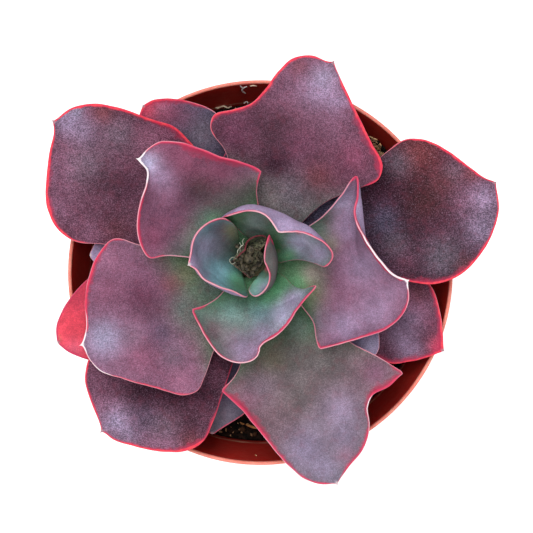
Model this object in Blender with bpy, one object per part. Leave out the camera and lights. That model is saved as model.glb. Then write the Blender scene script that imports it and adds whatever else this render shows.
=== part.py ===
"""An echeveria rosette growing in a round, thin plastic nursery pot.

The script's lengths are in millimetres and are turned into metres where a mesh is made.
+Z is up, and the origin is the middle of the pot's flat base.
"""
from math import cos, hypot, pi, radians, sin

import bpy
import numpy as np

METRES = 0.001
GAP = 0.3

# Pot
RIM_HEIGHT = 92.0
RIM_RADIUS = 60.0
RIM_LIP = 1.1
RIM_LIP_HEIGHT = 1.6
BASE_RADIUS = 41.0
BASE_BEVEL = 1.2
WALL = 1.1
FLOOR = 1.6
COLLAR_HEIGHT = 12.0
COLLAR_FOOT_RADIUS = 58.9
STEP_RADIUS = 57.4
EDGE_ROUNDING = 0.3
POT_SIDES = 64
DRAIN_HOLES = 8
DRAIN_RING = 31.0
DRAIN_RADIUS = 4.0
DRAIN_SIDES = 12

# Soil and stem
SOIL_DEPTH = 22.5
SOIL_EDGE_DIP = 1.2
SOIL_SIDES = 40
SOIL_RINGS = (1.0, 0.8, 0.55, 0.3)
STEM_AXIS = (-2.0, 3.0)
STEM_DEPTH_IN_SOIL = 12.0
STEM_FOOT_RADIUS = 6.6
STEM_TOP_RADIUS = 3.0
STEM_TOP = 14.8
STEM_SIDES = 16
STEM_RINGS = 8
STEM_RING_DEPTH = 0.35
STEM_ROUNDING = 0.4

# Rosette: leaf 2 of the spiral is the youngest full leaf, and each older one sits lower
ATTACH_TOP = 16.6
ATTACH_STEP = 1.6
BASE_THICKNESS = 4.2
THICKNESS_AT = (0.0, 0.3, 0.75, 1.0)
THICKNESSES = (BASE_THICKNESS, 3.9, 3.2, 1.6)
MARGIN_SHARE = 0.3
MARGIN_LEAST = 0.8
CUP_POWER = 2.4
ALONG = 14
ACROSS = 6
END_CROWDING = 1.3
# The most of t * t * (1 - t), for t from 0 to 1, times this is 1
BULGE_SCALE = 27 / 4

# The outlines below are lined up with the plane of the rim, seen from EYE, which hangs
# EYE_HEIGHT above the rim: a point at height h lies on its line of sight. All heights are of
# the upper face, from the rim. Each list runs from near the stem to the leaf's point.
EYE = (1.9, 1.9)
EYE_HEIGHT = 1000.0

LEAVES = {
    "leaf_heart_folded": {
        "place": 1, "turn": 320, "base": 4, "thick": 0.55,
        "left": [(3.6, 3.4, 18), (4.1, 6, 22.5), (3.7, 9.2, 26.5), (2.5, 11.8, 28.8), (1.6, 9, 29),
                 (1, 5.5, 28.6), (1.2, 3, 28)],
        "middle": [(2.6, 0.6, 17), (3.7, 0.5, 21), (3.6, 0.8, 25)],
        "right": [(-2.6, -3.2, 17.5), (-3.7, -5.4, 20.5), (-1.9, -7.2, 23.5), (0.6, -5.8, 25.5),
                  (2.4, -2.8, 27), (2.6, -0.4, 27.6)],
        "tip": (2, 1.4, 27.9)},
    "leaf_inner_left": {
        "place": 2, "turn": 182, "base": 6, "thick": 0.8,
        "left": [(-4.6, -3.8, 20), (-4.3, -7.4, 27), (-8, -5.8, 31), (-13, -4.1, 34), (-17.7, -1.7, 36),
                 (-20, 1.2, 36.8)],
        "middle": [(-9.5, 3.2, 16), (-14.5, 4, 22), (-18.8, 4.3, 29.5), (-20.8, 3.4, 35)],
        "right": [(-6.6, 11, 20), (-8.6, 15.2, 27.5), (-12.2, 16.8, 32), (-17, 14.8, 34.5),
                  (-20.4, 10.8, 36), (-21.5, 6, 36.8)],
        "tip": (-22.3, 2.5, 37)},
    "leaf_inner_top": {
        "place": 3, "turn": 34, "base": 7, "thick": 0.8,
        "left": [(-4, 10.8, 16.8), (-8.4, 15, 21.6), (-12, 16.6, 27.2), (-8.8, 17.8, 31), (-3.4, 19, 33.4),
                 (1.6, 17.6, 34.4), (4.3, 14.2, 34.4), (5.4, 12.6, 34), (8.6, 12.4, 33.8)],
        "middle": [(5, 9, 17), (8.2, 12.2, 22.4), (10.8, 14, 28), (12, 14, 32)],
        "right": [(6, 3.2, 15), (12, 4.2, 21), (17.2, 2.9, 26.5), (20.2, 1.9, 29), (22.5, 5.2, 31.5),
                  (20.4, 8.6, 33), (16, 11.1, 33.6)],
        "tip": (12.3, 13, 33.6),
        "bulge_left": 3.4},
    "leaf_inner_bottom": {
        "place": 4, "turn": 274, "base": 8, "thick": 0.9,
        "left": [(6.2, -0.4, 16), (10.2, -4, 21.5), (13.4, -6.5, 26), (17, -4.5, 30.5), (14.2, -7.3, 30),
                 (11.5, -11.2, 29), (8.4, -16.2, 28), (5.2, -19.4, 27.2), (1.2, -21.6, 26.8),
                 (-0.3, -23.6, 26.8)],
        "middle": [(-2.6, -7, 14), (-3.6, -14, 18.5), (-4.2, -20, 22.5), (-2.6, -24.4, 25.6)],
        "right": [(-9.6, -3.8, 16.5), (-13.4, -8, 20.5), (-17, -10.2, 23.5), (-21, -11.5, 26),
                  (-18.9, -16.2, 26), (-15.7, -22, 26), (-11.7, -26.3, 26), (-6.6, -28.1, 26.3),
                  (-2.3, -27.2, 26.7)],
        "tip": (-0.2, -25.2, 27)},
    "leaf_upper_left_inner": {
        "place": 5, "turn": 140, "base": 7.5, "thick": 1,
        "left": [(-12, 3.8, 13.4), (-21.7, 4.8, 18), (-30.3, 5.3, 22), (-34.5, 4.6, 24), (-37.2, 8.4, 25.4),
                 (-38.3, 14.5, 26.4), (-37.2, 22, 27), (-35.2, 28.1, 27.6), (-35, 32.4, 28.6)],
        "middle": [(-10.5, 11.5, 11.5), (-18.5, 20, 16.5), (-27, 28, 22), (-33.5, 32.6, 26.6)],
        "right": [(-2.4, 12.5, 13), (-0.6, 18.7, 17.5), (-1.2, 25.8, 23), (-0.1, 31.4, 27.5),
                  (-6.5, 34.4, 27.5), (-12.4, 35.9, 27.5), (-19, 38.6, 28), (-25.7, 40.6, 28.5),
                  (-31.6, 40.6, 29), (-35.4, 38.2, 29.2)],
        "tip": (-38, 34.9, 29.4)},
    "leaf_right_inner": {
        "place": 6, "turn": 353, "base": 8, "thick": 1,
        "left": [(7, 9, 12.2), (12.6, 13.3, 17.6), (19, 18.1, 24), (25.4, 24, 30), (29.9, 29.9, 34),
                 (30, 24, 34.3), (29, 18.7, 34), (32.3, 10.7, 33), (37, 3.8, 31.4), (42, -1.3, 29.8)],
        "middle": [(10.5, 1.2, 9.5), (20, -0.4, 13.5), (30, -2, 18.5), (40, -3.2, 25.5)],
        "right": [(7, -4, 9), (13.5, -11, 13), (16.9, -16, 16), (17.6, -21, 19), (18.5, -23.6, 20.4),
                  (24, -22.3, 20.4), (32, -20, 21), (39, -17.6, 23), (43.5, -14, 25),
                  (46, -9, 27.4)],
        "tip": (45.7, -2.4, 29.4),
        "bulge_left": 1.8},
    "leaf_left_lower": {
        "place": 7, "turn": 206, "base": 8, "thick": 1,
        "left": [(-8.5, -12, 7.5), (-14.5, -24.3, 12), (-17.6, -33, 14.5), (-19.6, -36.8, 15.6),
                 (-23, -38.1, 16.2), (-31.3, -36.3, 17), (-43.4, -32.9, 18), (-50.4, -30.3, 19),
                 (-53.5, -26.6, 19.6)],
        "middle": [(-14.5, -3.4, 8), (-26.5, -8.6, 11.5), (-38.5, -14, 15), (-49, -19, 18)],
        "right": [(-15, 4.8, 6.8), (-27, 7, 12), (-37.8, 8.6, 16.6), (-45.9, 10.4, 18.8), (-49.9, 6.7, 19.2),
                  (-53.2, -0.6, 19.6), (-54.7, -9, 19.6), (-54.2, -17, 19.8)],
        "tip": (-55.4, -22.2, 20)},
    "leaf_top": {
        "place": 8, "turn": 68, "base": 8, "thick": 1,
        "left": [(-6, 17, 8), (-8, 28, 12), (-11, 38, 15.4), (-15.6, 46, 18), (-14.9, 48.6, 18.2),
                 (-8.5, 50.7, 18), (-2.6, 52.8, 17.6), (1.6, 57.2, 17.2), (5.7, 62.9, 17), (10.4, 66.9, 17),
                 (16.3, 67.6, 17), (20.4, 66, 17)],
        "middle": [(3.5, 17, 7), (8.5, 30, 11), (14, 44, 14.2), (19, 57, 16.2)],
        "right": [(8, 10, 7.4), (13.1, 15.2, 10), (20.6, 21.3, 13.4), (31.3, 26.7, 16.8), (36.8, 29.2, 18.6),
                  (38, 32.8, 19), (34.5, 40.5, 19), (29.1, 51.7, 18.2), (25.2, 60, 17.4)],
        "tip": (22.8, 65.4, 17)},
    "leaf_bottom": {
        "place": 9, "turn": 291, "base": 8, "thick": 1,
        "left": [(10.5, -6.5, 6), (20, -15.5, 10.6), (28, -21.8, 14), (36.5, -26.2, 17), (44.3, -31.1, 19.6),
                 (40.4, -35.1, 19), (35, -38, 18), (33.4, -42, 17.6), (34, -47.4, 17.6),
                 (32, -55, 17.4), (27.6, -60.5, 17)],
        "middle": [(5, -13, 5.5), (11, -28, 10), (16.5, -44, 13.6), (21.2, -57, 16)],
        "right": [(-4.4, -14, 6.6), (-5, -24, 10.4), (-7.9, -32.2, 13.6), (-12, -36.5, 15.6),
                  (-6.4, -42, 15.6), (0, -49.7, 15.6), (8, -59.4, 16), (13.6, -64.2, 16.5),
                  (19.6, -66, 17)],
        "tip": (23.9, -65.6, 17.2)},
    "leaf_upper_left": {
        "place": 10, "turn": 145, "base": 8, "thick": 1,
        "left": [(-20, 5.2, 4), (-36, 8, 8), (-49.9, 9, 11), (-58.8, 10.2, 12.4), (-63.7, 14.3, 12.8),
                 (-66.6, 21, 12.8), (-66.6, 30, 12.4), (-65.6, 38, 12), (-64.3, 44, 11.6)],
        "middle": [(-16.5, 13, 2.2), (-32, 24, 5.4), (-48, 35.4, 8.4), (-58, 42.4, 10.2)],
        "right": [(-8, 20, 4), (-15.5, 32, 7.6), (-22.3, 41, 10.4), (-27.1, 45.4, 11.6),
                  (-34, 47.6, 12), (-43.9, 51.2, 12.4), (-52.3, 52.6, 12.2), (-59, 51.2, 11.8)],
        "tip": (-64.5, 47, 11.4)},
    "leaf_right_upper": {
        "place": 11, "turn": 18, "base": 8, "thick": 1,
        "left": [(10, 15, 2), (22, 25, 6), (34, 33, 9.6), (40.2, 38.2, 12), (45, 41.4, 13),
                 (51, 41.4, 13.4), (58, 38.2, 13.6), (65.9, 32.3, 13.6), (70.4, 29.2, 13.6)],
        "middle": [(15, 7.4, 1), (30, 13.2, 4.8), (48, 19.4, 9), (63, 25, 12)],
        "right": [(18, -0.6, 2.6), (32, -2.2, 7.4), (44, -2.4, 11), (54, -3.5, 13.2), (61, -1.4, 13.8),
                  (67.6, 4.4, 14.2), (72.3, 12.3, 14.2), (74.3, 20, 14)],
        "tip": (73.2, 28.3, 13.6)},
    "leaf_lower_left": {
        "place": 12, "turn": 228, "base": 8, "thick": 1,
        "left": [(-5, -13, 0), (-8.6, -28, 4), (-11.9, -38, 6.8), (-15.2, -47.4, 8.8), (-17.9, -52.6, 9.6),
                 (-22.4, -55.3, 9.8), (-31, -55.7, 9.8), (-40, -53.9, 9.6), (-46, -51.9, 9.3)],
        "middle": [(-14.5, -9.6, -1), (-25, -22, 2), (-35.6, -34.4, 5), (-44, -43.8, 7.6)],
        "right": [(-22, -4, 1.4), (-38, -12, 5.6), (-49, -20, 8.4), (-53.9, -28, 9.6),
                  (-54.6, -33.5, 9.8), (-52.5, -40.9, 9.6), (-50.4, -46, 9.3)],
        "tip": (-49.3, -49.2, 9.2)},
    "leaf_top_hidden": {
        "place": 13, "turn": 90, "base": 7.5, "thick": 0.9,
        "left": [(-9, 17, -2), (-12.5, 28, 1), (-11, 37, 2.4), (-5.5, 42.6, 2.8)],
        "middle": [(-1.6, 18, -3), (-1, 30, 0), (-0.6, 39, 2)],
        "right": [(5.6, 17, -2), (10.4, 28, 1), (9.4, 37, 2.4), (4.6, 42.6, 2.8)],
        "tip": (-0.4, 44.6, 3)},
    "leaf_right_lower_inner": {
        "place": 14, "turn": 326, "base": 7.5, "thick": 0.9,
        "left": [(14, 0.6, -4), (26, -4, -0.6), (34, -11.6, 1.6), (36.8, -18.4, 2.4)],
        "middle": [(13.5, -7.4, -4), (25, -15.6, -1), (33, -21.4, 1.4)],
        "right": [(7, -13.4, -4), (17, -23, -0.6), (26, -28.2, 1.4), (33, -28, 2.2)],
        "tip": (37, -24.4, 2.6)},
    "leaf_left_inner": {
        "place": 15, "turn": 178, "base": 7.5, "thick": 0.9,
        "left": [(-18, -5.6, -5), (-32, -7.6, 0), (-43, -4.6, 3.6), (-50, 1, 5.4)],
        "middle": [(-20, 3.6, -5), (-34, 4.6, 0), (-45, 5.2, 4)],
        "right": [(-18, 12.4, -5), (-32, 16.4, 0), (-43, 15.2, 3.6), (-50.6, 10.4, 5.4)],
        "tip": (-53.4, 5.4, 6)},
    "leaf_right_hidden": {
        "place": 16, "turn": 40, "base": 8, "thick": 0.9,
        "left": [(4, 16, -8), (12, 25.6, -6.4), (21, 30, -5.4), (26.6, 30.8, -5)],
        "middle": [(10.4, 13.6, -8.6), (19, 21, -6.8), (26, 27, -5.4)],
        "right": [(15, 9, -8), (25, 14.6, -6.4), (30.4, 21.6, -5.4), (31, 26.6, -5)],
        "tip": (30, 30.4, -4.8)},
    "leaf_bottom_inner": {
        "place": 17, "turn": 257, "base": 7.5, "thick": 0.9,
        "left": [(3.4, -12, -9.6), (5, -26, -8), (0.6, -38.4, -6.8), (-6, -44.7, -6.2),
                 (-11.7, -48.3, -6)],
        "middle": [(-5.6, -15, -10), (-9.4, -30, -8.4), (-12.8, -43, -6.8)],
        "right": [(-14.4, -11, -9.6), (-21.4, -26, -8), (-22.8, -38, -6.8), (-19, -47, -6)],
        "tip": (-15, -50.6, -5.8)},
    "leaf_top_left": {
        "place": 18, "turn": 124, "base": 7.5, "thick": 0.9,
        "left": [(-16, 13, -9), (-28, 25, -4), (-36.4, 37, 1.2), (-38.4, 43.6, 3.8), (-37.8, 48.8, 4.9)],
        "middle": [(-10, 17, -10), (-18, 30, -4.8), (-27, 42.4, 1), (-33, 48.6, 4)],
        "right": [(-2.6, 18, -9), (-5.6, 31, -3.8), (-9, 41.6, 1), (-14.5, 50.1, 4.4), (-21, 52.9, 5.2),
                  (-29.4, 54.2, 5.4), (-34, 53.6, 5.2)],
        "tip": (-36.6, 52, 5.2)},
    "leaf_right_lower": {
        "place": 19, "turn": 335, "base": 7.5, "thick": 0.9,
        "left": [(18, 4.6, -9.6), (36, 3.4, -3.4), (48, 0.4, 1.2), (53.6, -5, 4), (55.9, -12, 5),
                 (56.8, -19, 5.2)],
        "middle": [(15, -5, -11), (30, -11.6, -5), (44, -18.2, 1), (52, -22, 4)],
        "right": [(9, -14, -10.4), (23, -23, -5.4), (35, -26.2, -0.6), (41, -28.3, 1.4),
                  (47, -27.6, 3), (52.4, -26.2, 4.6)],
        "tip": (57, -24.4, 5.4)},
    "leaf_far_left": {
        "place": 20, "turn": 202, "base": 7.5, "thick": 0.9,
        "left": [(-13, -13, -12.6), (-28, -23, -6.8), (-42, -28, -0.4), (-50, -28, 3.2),
                 (-55.6, -26.5, 5), (-60, -24.6, 6.2)],
        "middle": [(-18, -4, -12.6), (-34, -10.2, -6.2), (-48, -15.8, 0.4), (-58, -19.6, 5)],
        "right": [(-18, 5.4, -12), (-34, 5.4, -6.6), (-46, 1.8, -1), (-53.4, -1.7, 2.4), (-58, -6.4, 4.2),
                  (-61.6, -11.6, 5.6), (-63.6, -17.2, 6.6)],
        "tip": (-63.3, -21.9, 7)},
}

# The heart's withered scales, in the same terms, each from a root inside the heart's core
HEART_CORE = [(0, 15.4), (2.6, 15.4), (3.6, 16.2), (3.2, 17.4), (1.8, 18.2), (0, 18.2)]
HEART_AXIS = (-2.4, 4.0)
HEART_SIDES = 10
HEART_SCALES = {
    "scale_red_rimmed": {
        "root": (-2.4, 5.2, 16.9), "turn": 118, "base": 4, "thick": 0.4,
        "left": [(-5.8, 3.8, 18.8), (-8.3, 3.4, 21), (-6.3, 5.4, 21.7), (-4.4, 7.2, 22.1)],
        "middle": [(-3.2, 7, 17.6), (-4.2, 8.4, 19.6)],
        "right": [(0.4, 7.4, 18), (1.8, 9.4, 19.8), (1.6, 11, 21.2), (-0.8, 11.3, 22), (-3.2, 10.2, 22.3)],
        "tip": (-4.7, 8.8, 22.3)},
    "scale_brown": {
        "root": (-3, 3.6, 16.8), "turn": 222, "base": 4, "thick": 0.4,
        "left": [(-1.8, 0.9, 17.8), (-3.2, -1.6, 19.2), (-4.8, -0.2, 19.8)],
        "middle": [(-4.2, 2.2, 17.2), (-5.4, 1.4, 18.6)],
        "right": [(-6.4, 4.4, 18.2), (-9.2, 3.4, 19.6), (-7.8, 2.2, 20)],
        "tip": (-6.3, 1, 20)},
    "scale_inner": {
        "root": (-2.2, 4.4, 17.2), "turn": 318, "base": 2.4, "thick": 0.34,
        "left": [(-0.2, 5, 18.6), (0.5, 3.9, 19.8)],
        "middle": [(-1, 3.5, 18)],
        "right": [(-2, 2.5, 18.4), (-1, 1.6, 19.6)],
        "tip": (0.2, 2.4, 20.2)},
}
SCALE_ALONG = 8
SCALE_ACROSS = 4


def new_material(name, colour, roughness, metallic=0.0):
    """A plain Principled material."""
    material = bpy.data.materials.new(name)
    material.use_nodes = True
    shader = material.node_tree.nodes["Principled BSDF"]
    shader.inputs["Base Color"].default_value = (*colour, 1.0)
    shader.inputs["Roughness"].default_value = roughness
    shader.inputs["Metallic"].default_value = metallic
    material.diffuse_color = (*colour, 1.0)
    return material


def add_object(name, points, faces, material, sharp_angle=50):
    """An object made of points in millimetres and faces that look outwards."""
    mesh = bpy.data.meshes.new(name)
    mesh.from_pydata([tuple(METRES * c for c in point) for point in points], [], faces)
    mesh.materials.append(material)
    mesh.shade_smooth()
    mesh.set_sharp_from_angle(angle=radians(sharp_angle))
    thing = bpy.data.objects.new(name, mesh)
    bpy.context.collection.objects.link(thing)
    return thing


def turned(name, profile, sides, material, axis=(0.0, 0.0)):
    """A closed solid turned about a vertical axis; the profile runs from the lower to the upper pole."""
    rings = profile[1:-1]
    points = [(axis[0], axis[1], profile[0][1])]
    for radius, height in rings:
        for side in range(sides):
            angle = 2 * pi * side / sides
            points.append((axis[0] + radius * cos(angle), axis[1] + radius * sin(angle), height))
    points.append((axis[0], axis[1], profile[-1][1]))
    faces = []
    top = len(points) - 1
    last_ring = 1 + (len(rings) - 1) * sides
    for side in range(sides):
        after = (side + 1) % sides
        faces.append((0, 1 + after, 1 + side))
        faces.append((top, last_ring + side, last_ring + after))
        for ring in range(len(rings) - 1):
            low = 1 + ring * sides
            high = low + sides
            faces.append((low + side, low + after, high + after, high + side))
    return add_object(name, points, faces, material)


def rod(name, radius, low, high, sides, material, axis):
    """A plain upright cylinder."""
    return turned(name, [(0, low), (radius, low), (radius, high), (0, high)], sides, material, axis)


def apply_boolean(target, cutter, operation):
    """Joins or cuts target with cutter and removes the cutter."""
    modifier = target.modifiers.new(operation, "BOOLEAN")
    modifier.operation = operation
    modifier.object = cutter
    modifier.solver = "EXACT"
    depsgraph = bpy.context.evaluated_depsgraph_get()
    result = bpy.data.meshes.new_from_object(target.evaluated_get(depsgraph))
    target.modifiers.clear()
    target.data = result
    bpy.data.objects.remove(cutter)


def inner_radius(height):
    """The pot's inner radius at a height above its base, below the soil's top."""
    share = height / (RIM_HEIGHT - COLLAR_HEIGHT)
    return BASE_RADIUS + (STEP_RADIUS - BASE_RADIUS) * share - WALL


def make_pot(material):
    """The thin wall with its outer collar, lip and flat floor, and round drain holes through the floor."""
    step = RIM_HEIGHT - COLLAR_HEIGHT
    soil_line = RIM_HEIGHT - SOIL_DEPTH
    profile = [
        (0, 0),
        (BASE_RADIUS - BASE_BEVEL, 0),
        (BASE_RADIUS, BASE_BEVEL),
        (STEP_RADIUS, step - WALL),
        (COLLAR_FOOT_RADIUS - EDGE_ROUNDING, step - WALL),
        (COLLAR_FOOT_RADIUS, step - WALL + EDGE_ROUNDING),
        (RIM_RADIUS - EDGE_ROUNDING, RIM_HEIGHT - RIM_LIP_HEIGHT),
        (RIM_RADIUS, RIM_HEIGHT - RIM_LIP_HEIGHT + EDGE_ROUNDING),
        (RIM_RADIUS, RIM_HEIGHT - EDGE_ROUNDING),
        (RIM_RADIUS - EDGE_ROUNDING, RIM_HEIGHT),
        (RIM_RADIUS - RIM_LIP, RIM_HEIGHT),
        (inner_radius(soil_line), soil_line),
        (inner_radius(FLOOR), FLOOR),
        (0, FLOOR),
    ]
    pot = turned("pot", profile, POT_SIDES, material)
    for hole in range(DRAIN_HOLES):
        angle = 2 * pi * (hole + 0.5) / DRAIN_HOLES
        centre = (DRAIN_RING * cos(angle), DRAIN_RING * sin(angle))
        cutter = rod("drain", DRAIN_RADIUS, -FLOOR, 2 * FLOOR, DRAIN_SIDES, material, centre)
        apply_boolean(pot, cutter, "DIFFERENCE")
    return pot


def soil_height(x, y):
    """The height of the soil's gently uneven surface."""
    return RIM_HEIGHT - SOIL_DEPTH + 0.7 * sin(x / 9) * cos(y / 11) + 0.5 * sin((x + y) / 6)


def make_soil(material):
    """Potting mix that fills the pot to well below its rim, with a plain hole for the stem."""
    floor = FLOOR + GAP
    edge_height = RIM_HEIGHT - SOIL_DEPTH - SOIL_EDGE_DIP
    edge = inner_radius(edge_height) - GAP
    profile = [(0, floor), (inner_radius(floor) - GAP, floor)]
    profile += [(share * edge, edge_height) for share in SOIL_RINGS]
    profile.append((0, edge_height))
    soil = turned("soil", profile, SOIL_SIDES, material)
    for vertex in soil.data.vertices:
        x, y, z = (c / METRES for c in vertex.co)
        if z > floor + 1 and hypot(x, y) < edge - 1:
            vertex.co.z = soil_height(x, y) * METRES
    bottom = RIM_HEIGHT - SOIL_DEPTH - STEM_DEPTH_IN_SOIL
    hole = rod("hole", STEM_FOOT_RADIUS + GAP, bottom, RIM_HEIGHT, STEM_SIDES, material, STEM_AXIS)
    apply_boolean(soil, hole, "DIFFERENCE")
    return soil


def stem_radius(height):
    """The stem's radius at a height from the rim."""
    share = min(max((height + SOIL_DEPTH) / (STEM_TOP + SOIL_DEPTH), 0.0), 1.0)
    return STEM_FOOT_RADIUS + (STEM_TOP_RADIUS - STEM_FOOT_RADIUS) * share


def make_stem(material):
    """The short stem: it narrows upwards and has low rings, the scars of lost leaves."""
    foot = RIM_HEIGHT - SOIL_DEPTH - STEM_DEPTH_IN_SOIL + GAP
    profile = [(0, foot), (STEM_FOOT_RADIUS - STEM_ROUNDING, foot), (STEM_FOOT_RADIUS, foot + STEM_ROUNDING)]
    for ring in range(STEM_RINGS + 1):
        height = -SOIL_DEPTH + (STEM_TOP - STEM_ROUNDING + SOIL_DEPTH) * ring / STEM_RINGS
        inset = STEM_RING_DEPTH if ring % 2 else 0
        profile.append((stem_radius(height) - inset, RIM_HEIGHT + height))
    profile.append((STEM_TOP_RADIUS - STEM_ROUNDING, RIM_HEIGHT + STEM_TOP))
    profile.append((0, RIM_HEIGHT + STEM_TOP))
    return turned("stem", profile, STEM_SIDES, material, STEM_AXIS)


def in_place(x, y, height):
    """The real point behind a point of an outline, on its line of sight from EYE."""
    shrink = 1 - height / EYE_HEIGHT
    return (EYE[0] + (x - EYE[0]) * shrink, EYE[1] + (y - EYE[1]) * shrink, RIM_HEIGHT + height)


def smooth_path(points, shares):
    """Points at the given shares of the length of a smooth curve through all the points."""
    points = np.array(points, float)
    steps = np.diff(points, axis=0)
    spans = np.linalg.norm(steps, axis=1)
    slopes = steps / spans[:, None]
    tangents = np.empty_like(points)
    tangents[0] = slopes[0]
    tangents[-1] = slopes[-1]
    weights = spans[1:] / (spans[1:] + spans[:-1])
    tangents[1:-1] = slopes[:-1] * weights[:, None] + slopes[1:] * (1 - weights)[:, None]
    knots = np.concatenate([[0], np.cumsum(spans)])
    along = np.asarray(shares) * knots[-1]
    piece = np.clip(np.searchsorted(knots, along, "right") - 1, 0, len(spans) - 1)
    span = spans[piece]
    u = ((along - knots[piece]) / span)[:, None]
    span = span[:, None]
    return (points[piece] * (2 * u**3 - 3 * u**2 + 1) + points[piece + 1] * (3 * u**2 - 2 * u**3)
            + tangents[piece] * span * (u**3 - 2 * u**2 + u) + tangents[piece + 1] * span * (u**3 - u**2))


def leaf_guides(leaf, shares):
    """Left margin, middle and right margin of a leaf's upper face, at the given shares of its length."""
    turn = radians(leaf["turn"])
    out = np.array((cos(turn), sin(turn), 0))
    side = np.array((-sin(turn), cos(turn), 0))
    if "root" in leaf:
        root = np.array(in_place(*leaf["root"]))
    else:
        height = ATTACH_TOP - ATTACH_STEP * leaf["place"]
        reach = stem_radius(height - leaf["thick"] * BASE_THICKNESS) + GAP
        root = np.array((*STEM_AXIS, RIM_HEIGHT + height)) + out * reach
    tip = in_place(*leaf["tip"])
    guides = []
    for name, sign in (("left", 1), ("middle", 0), ("right", -1)):
        points = [root + side * sign * leaf["base"] / 2]
        points += [in_place(*point) for point in leaf[name]]
        points.append(tip)
        guides.append(smooth_path(points, shares))
    return guides


def leaf_grids(leaf, along, across):
    """The upper and the lower face of a leaf, as grids of points from its base to just before its tip."""
    shares = 1 - (1 - np.linspace(0, 1, along + 1)) ** END_CROWDING
    left, middle, right = leaf_guides(leaf, shares)
    t = np.linspace(-1, 1, across + 1)[None, :, None]
    chord_middle = ((left + right) / 2)[:, None]
    upper = chord_middle + (left - right)[:, None] / 2 * t
    upper = upper + (middle[:, None] - chord_middle) * (1 - np.abs(t) ** CUP_POWER)
    if "bulge_left" in leaf:
        outward = left - right
        outward[:, 2] = 0
        outward /= np.maximum(np.linalg.norm(outward, axis=1), 1e-6)[:, None]
        grown = np.sin(pi * shares) ** 2 * leaf["bulge_left"]
        leftward = np.clip(t, 0, 1)
        ridge = leftward**2 * (1 - leftward) * BULGE_SCALE
        upper = upper + (outward * grown[:, None])[:, None] * ridge
    ahead = np.gradient(upper, axis=0)
    aside = np.gradient(upper, axis=1)
    normal = np.cross(aside, ahead)
    normal /= np.maximum(np.linalg.norm(normal, axis=2), 1e-9)[..., None]
    normal[-1] = normal[-2]
    thickness = leaf["thick"] * np.interp(shares, THICKNESS_AT, THICKNESSES)
    spread = MARGIN_SHARE + (1 - MARGIN_SHARE) * (1 - np.abs(t[0, :, 0]) ** CUP_POWER)
    depth = np.maximum(thickness[:, None] * spread[None, :], MARGIN_LEAST)
    lower = upper + normal * depth[..., None]
    return upper[:-1], lower[:-1], upper[-1, across // 2]


def leaf_mesh(leaf, along, across):
    """The points and faces of a leaf's closed solid."""
    upper, lower, tip = leaf_grids(leaf, along, across)
    rows, columns = upper.shape[:2]
    points = [*upper.reshape(-1, 3), *lower.reshape(-1, 3), tip]
    under = rows * columns
    apex = 2 * under
    faces = []
    for row in range(rows - 1):
        for column in range(columns - 1):
            a = row * columns + column
            b, c, d = a + 1, a + columns + 1, a + columns
            if column < columns // 2:
                corners = ((a, b, c), (a, c, d))
            else:
                corners = ((a, b, d), (b, c, d))
            for face in corners:
                faces.append(face[::-1])
                faces.append(tuple(corner + under for corner in face))
    rim = [(row * columns, (row + 1) * columns) for row in range(rows - 1)]
    far = [((row + 1) * columns + columns - 1, row * columns + columns - 1) for row in range(rows - 1)]
    foot = [(column + 1, column) for column in range(columns - 1)]
    for start, end in rim + far + foot:
        faces.append((start, end, end + under, start + under)[::-1])
    last = (rows - 1) * columns
    for column in range(columns - 1):
        faces.append((last + column, apex, last + column + 1))
        faces.append((last + column + under, last + column + 1 + under, apex))
    faces.append((last, last + under, apex))
    faces.append((last + columns - 1 + under, last + columns - 1, apex))
    return points, faces


def make_heart(material):
    """The withered growing point: a low core and its scales, joined into one body."""
    profile = [(radius, RIM_HEIGHT + height) for radius, height in HEART_CORE]
    core = turned("heart", profile, HEART_SIDES, material, HEART_AXIS)
    for name, scale in HEART_SCALES.items():
        points, faces = leaf_mesh(scale, SCALE_ALONG, SCALE_ACROSS)
        apply_boolean(core, add_object(name, points, faces, material), "UNION")
    return core


for thing in list(bpy.data.objects):
    bpy.data.objects.remove(thing)

make_pot(new_material("pot_plastic", (0.62, 0.16, 0.13), 0.45))
make_soil(new_material("potting_mix", (0.03, 0.018, 0.014), 0.95))
make_stem(new_material("stem_bark", (0.16, 0.11, 0.05), 0.8))
make_heart(new_material("withered_heart", (0.1, 0.08, 0.04), 0.85))
for leaf_name, leaf in LEAVES.items():
    leaf_points, leaf_faces = leaf_mesh(leaf, ALONG, ACROSS)
    add_object(leaf_name, leaf_points, leaf_faces, new_material(leaf_name, (0.2, 0.09, 0.14), 0.55))
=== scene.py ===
"""The looks of the potted echeveria: its fine leaves, heart, stem, soil and pot, and their finishes.

Lengths are in millimetres until a mesh is made, in the part's own frame: +Z is up and the origin
is the middle of the pot's flat base. The leaves' outlines are the part's own, a few of them
refined by under a millimetre.
"""
from math import cos, hypot, pi, radians, sin

import bmesh
import bpy
import numpy as np
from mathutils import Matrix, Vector, noise


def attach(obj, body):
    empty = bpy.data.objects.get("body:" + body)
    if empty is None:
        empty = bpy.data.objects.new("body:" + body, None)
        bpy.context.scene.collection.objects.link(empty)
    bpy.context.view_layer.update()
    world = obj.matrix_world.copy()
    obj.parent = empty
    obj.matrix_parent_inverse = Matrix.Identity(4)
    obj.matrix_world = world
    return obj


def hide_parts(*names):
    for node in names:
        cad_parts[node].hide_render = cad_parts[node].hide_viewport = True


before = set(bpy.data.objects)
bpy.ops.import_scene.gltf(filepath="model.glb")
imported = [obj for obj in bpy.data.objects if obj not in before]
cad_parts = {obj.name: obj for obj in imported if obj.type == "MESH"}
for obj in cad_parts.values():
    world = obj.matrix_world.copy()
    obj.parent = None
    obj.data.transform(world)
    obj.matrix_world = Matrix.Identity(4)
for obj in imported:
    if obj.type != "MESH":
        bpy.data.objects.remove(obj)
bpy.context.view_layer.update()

METRES = 0.001
GAP = 0.3
SEED = 7

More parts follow.
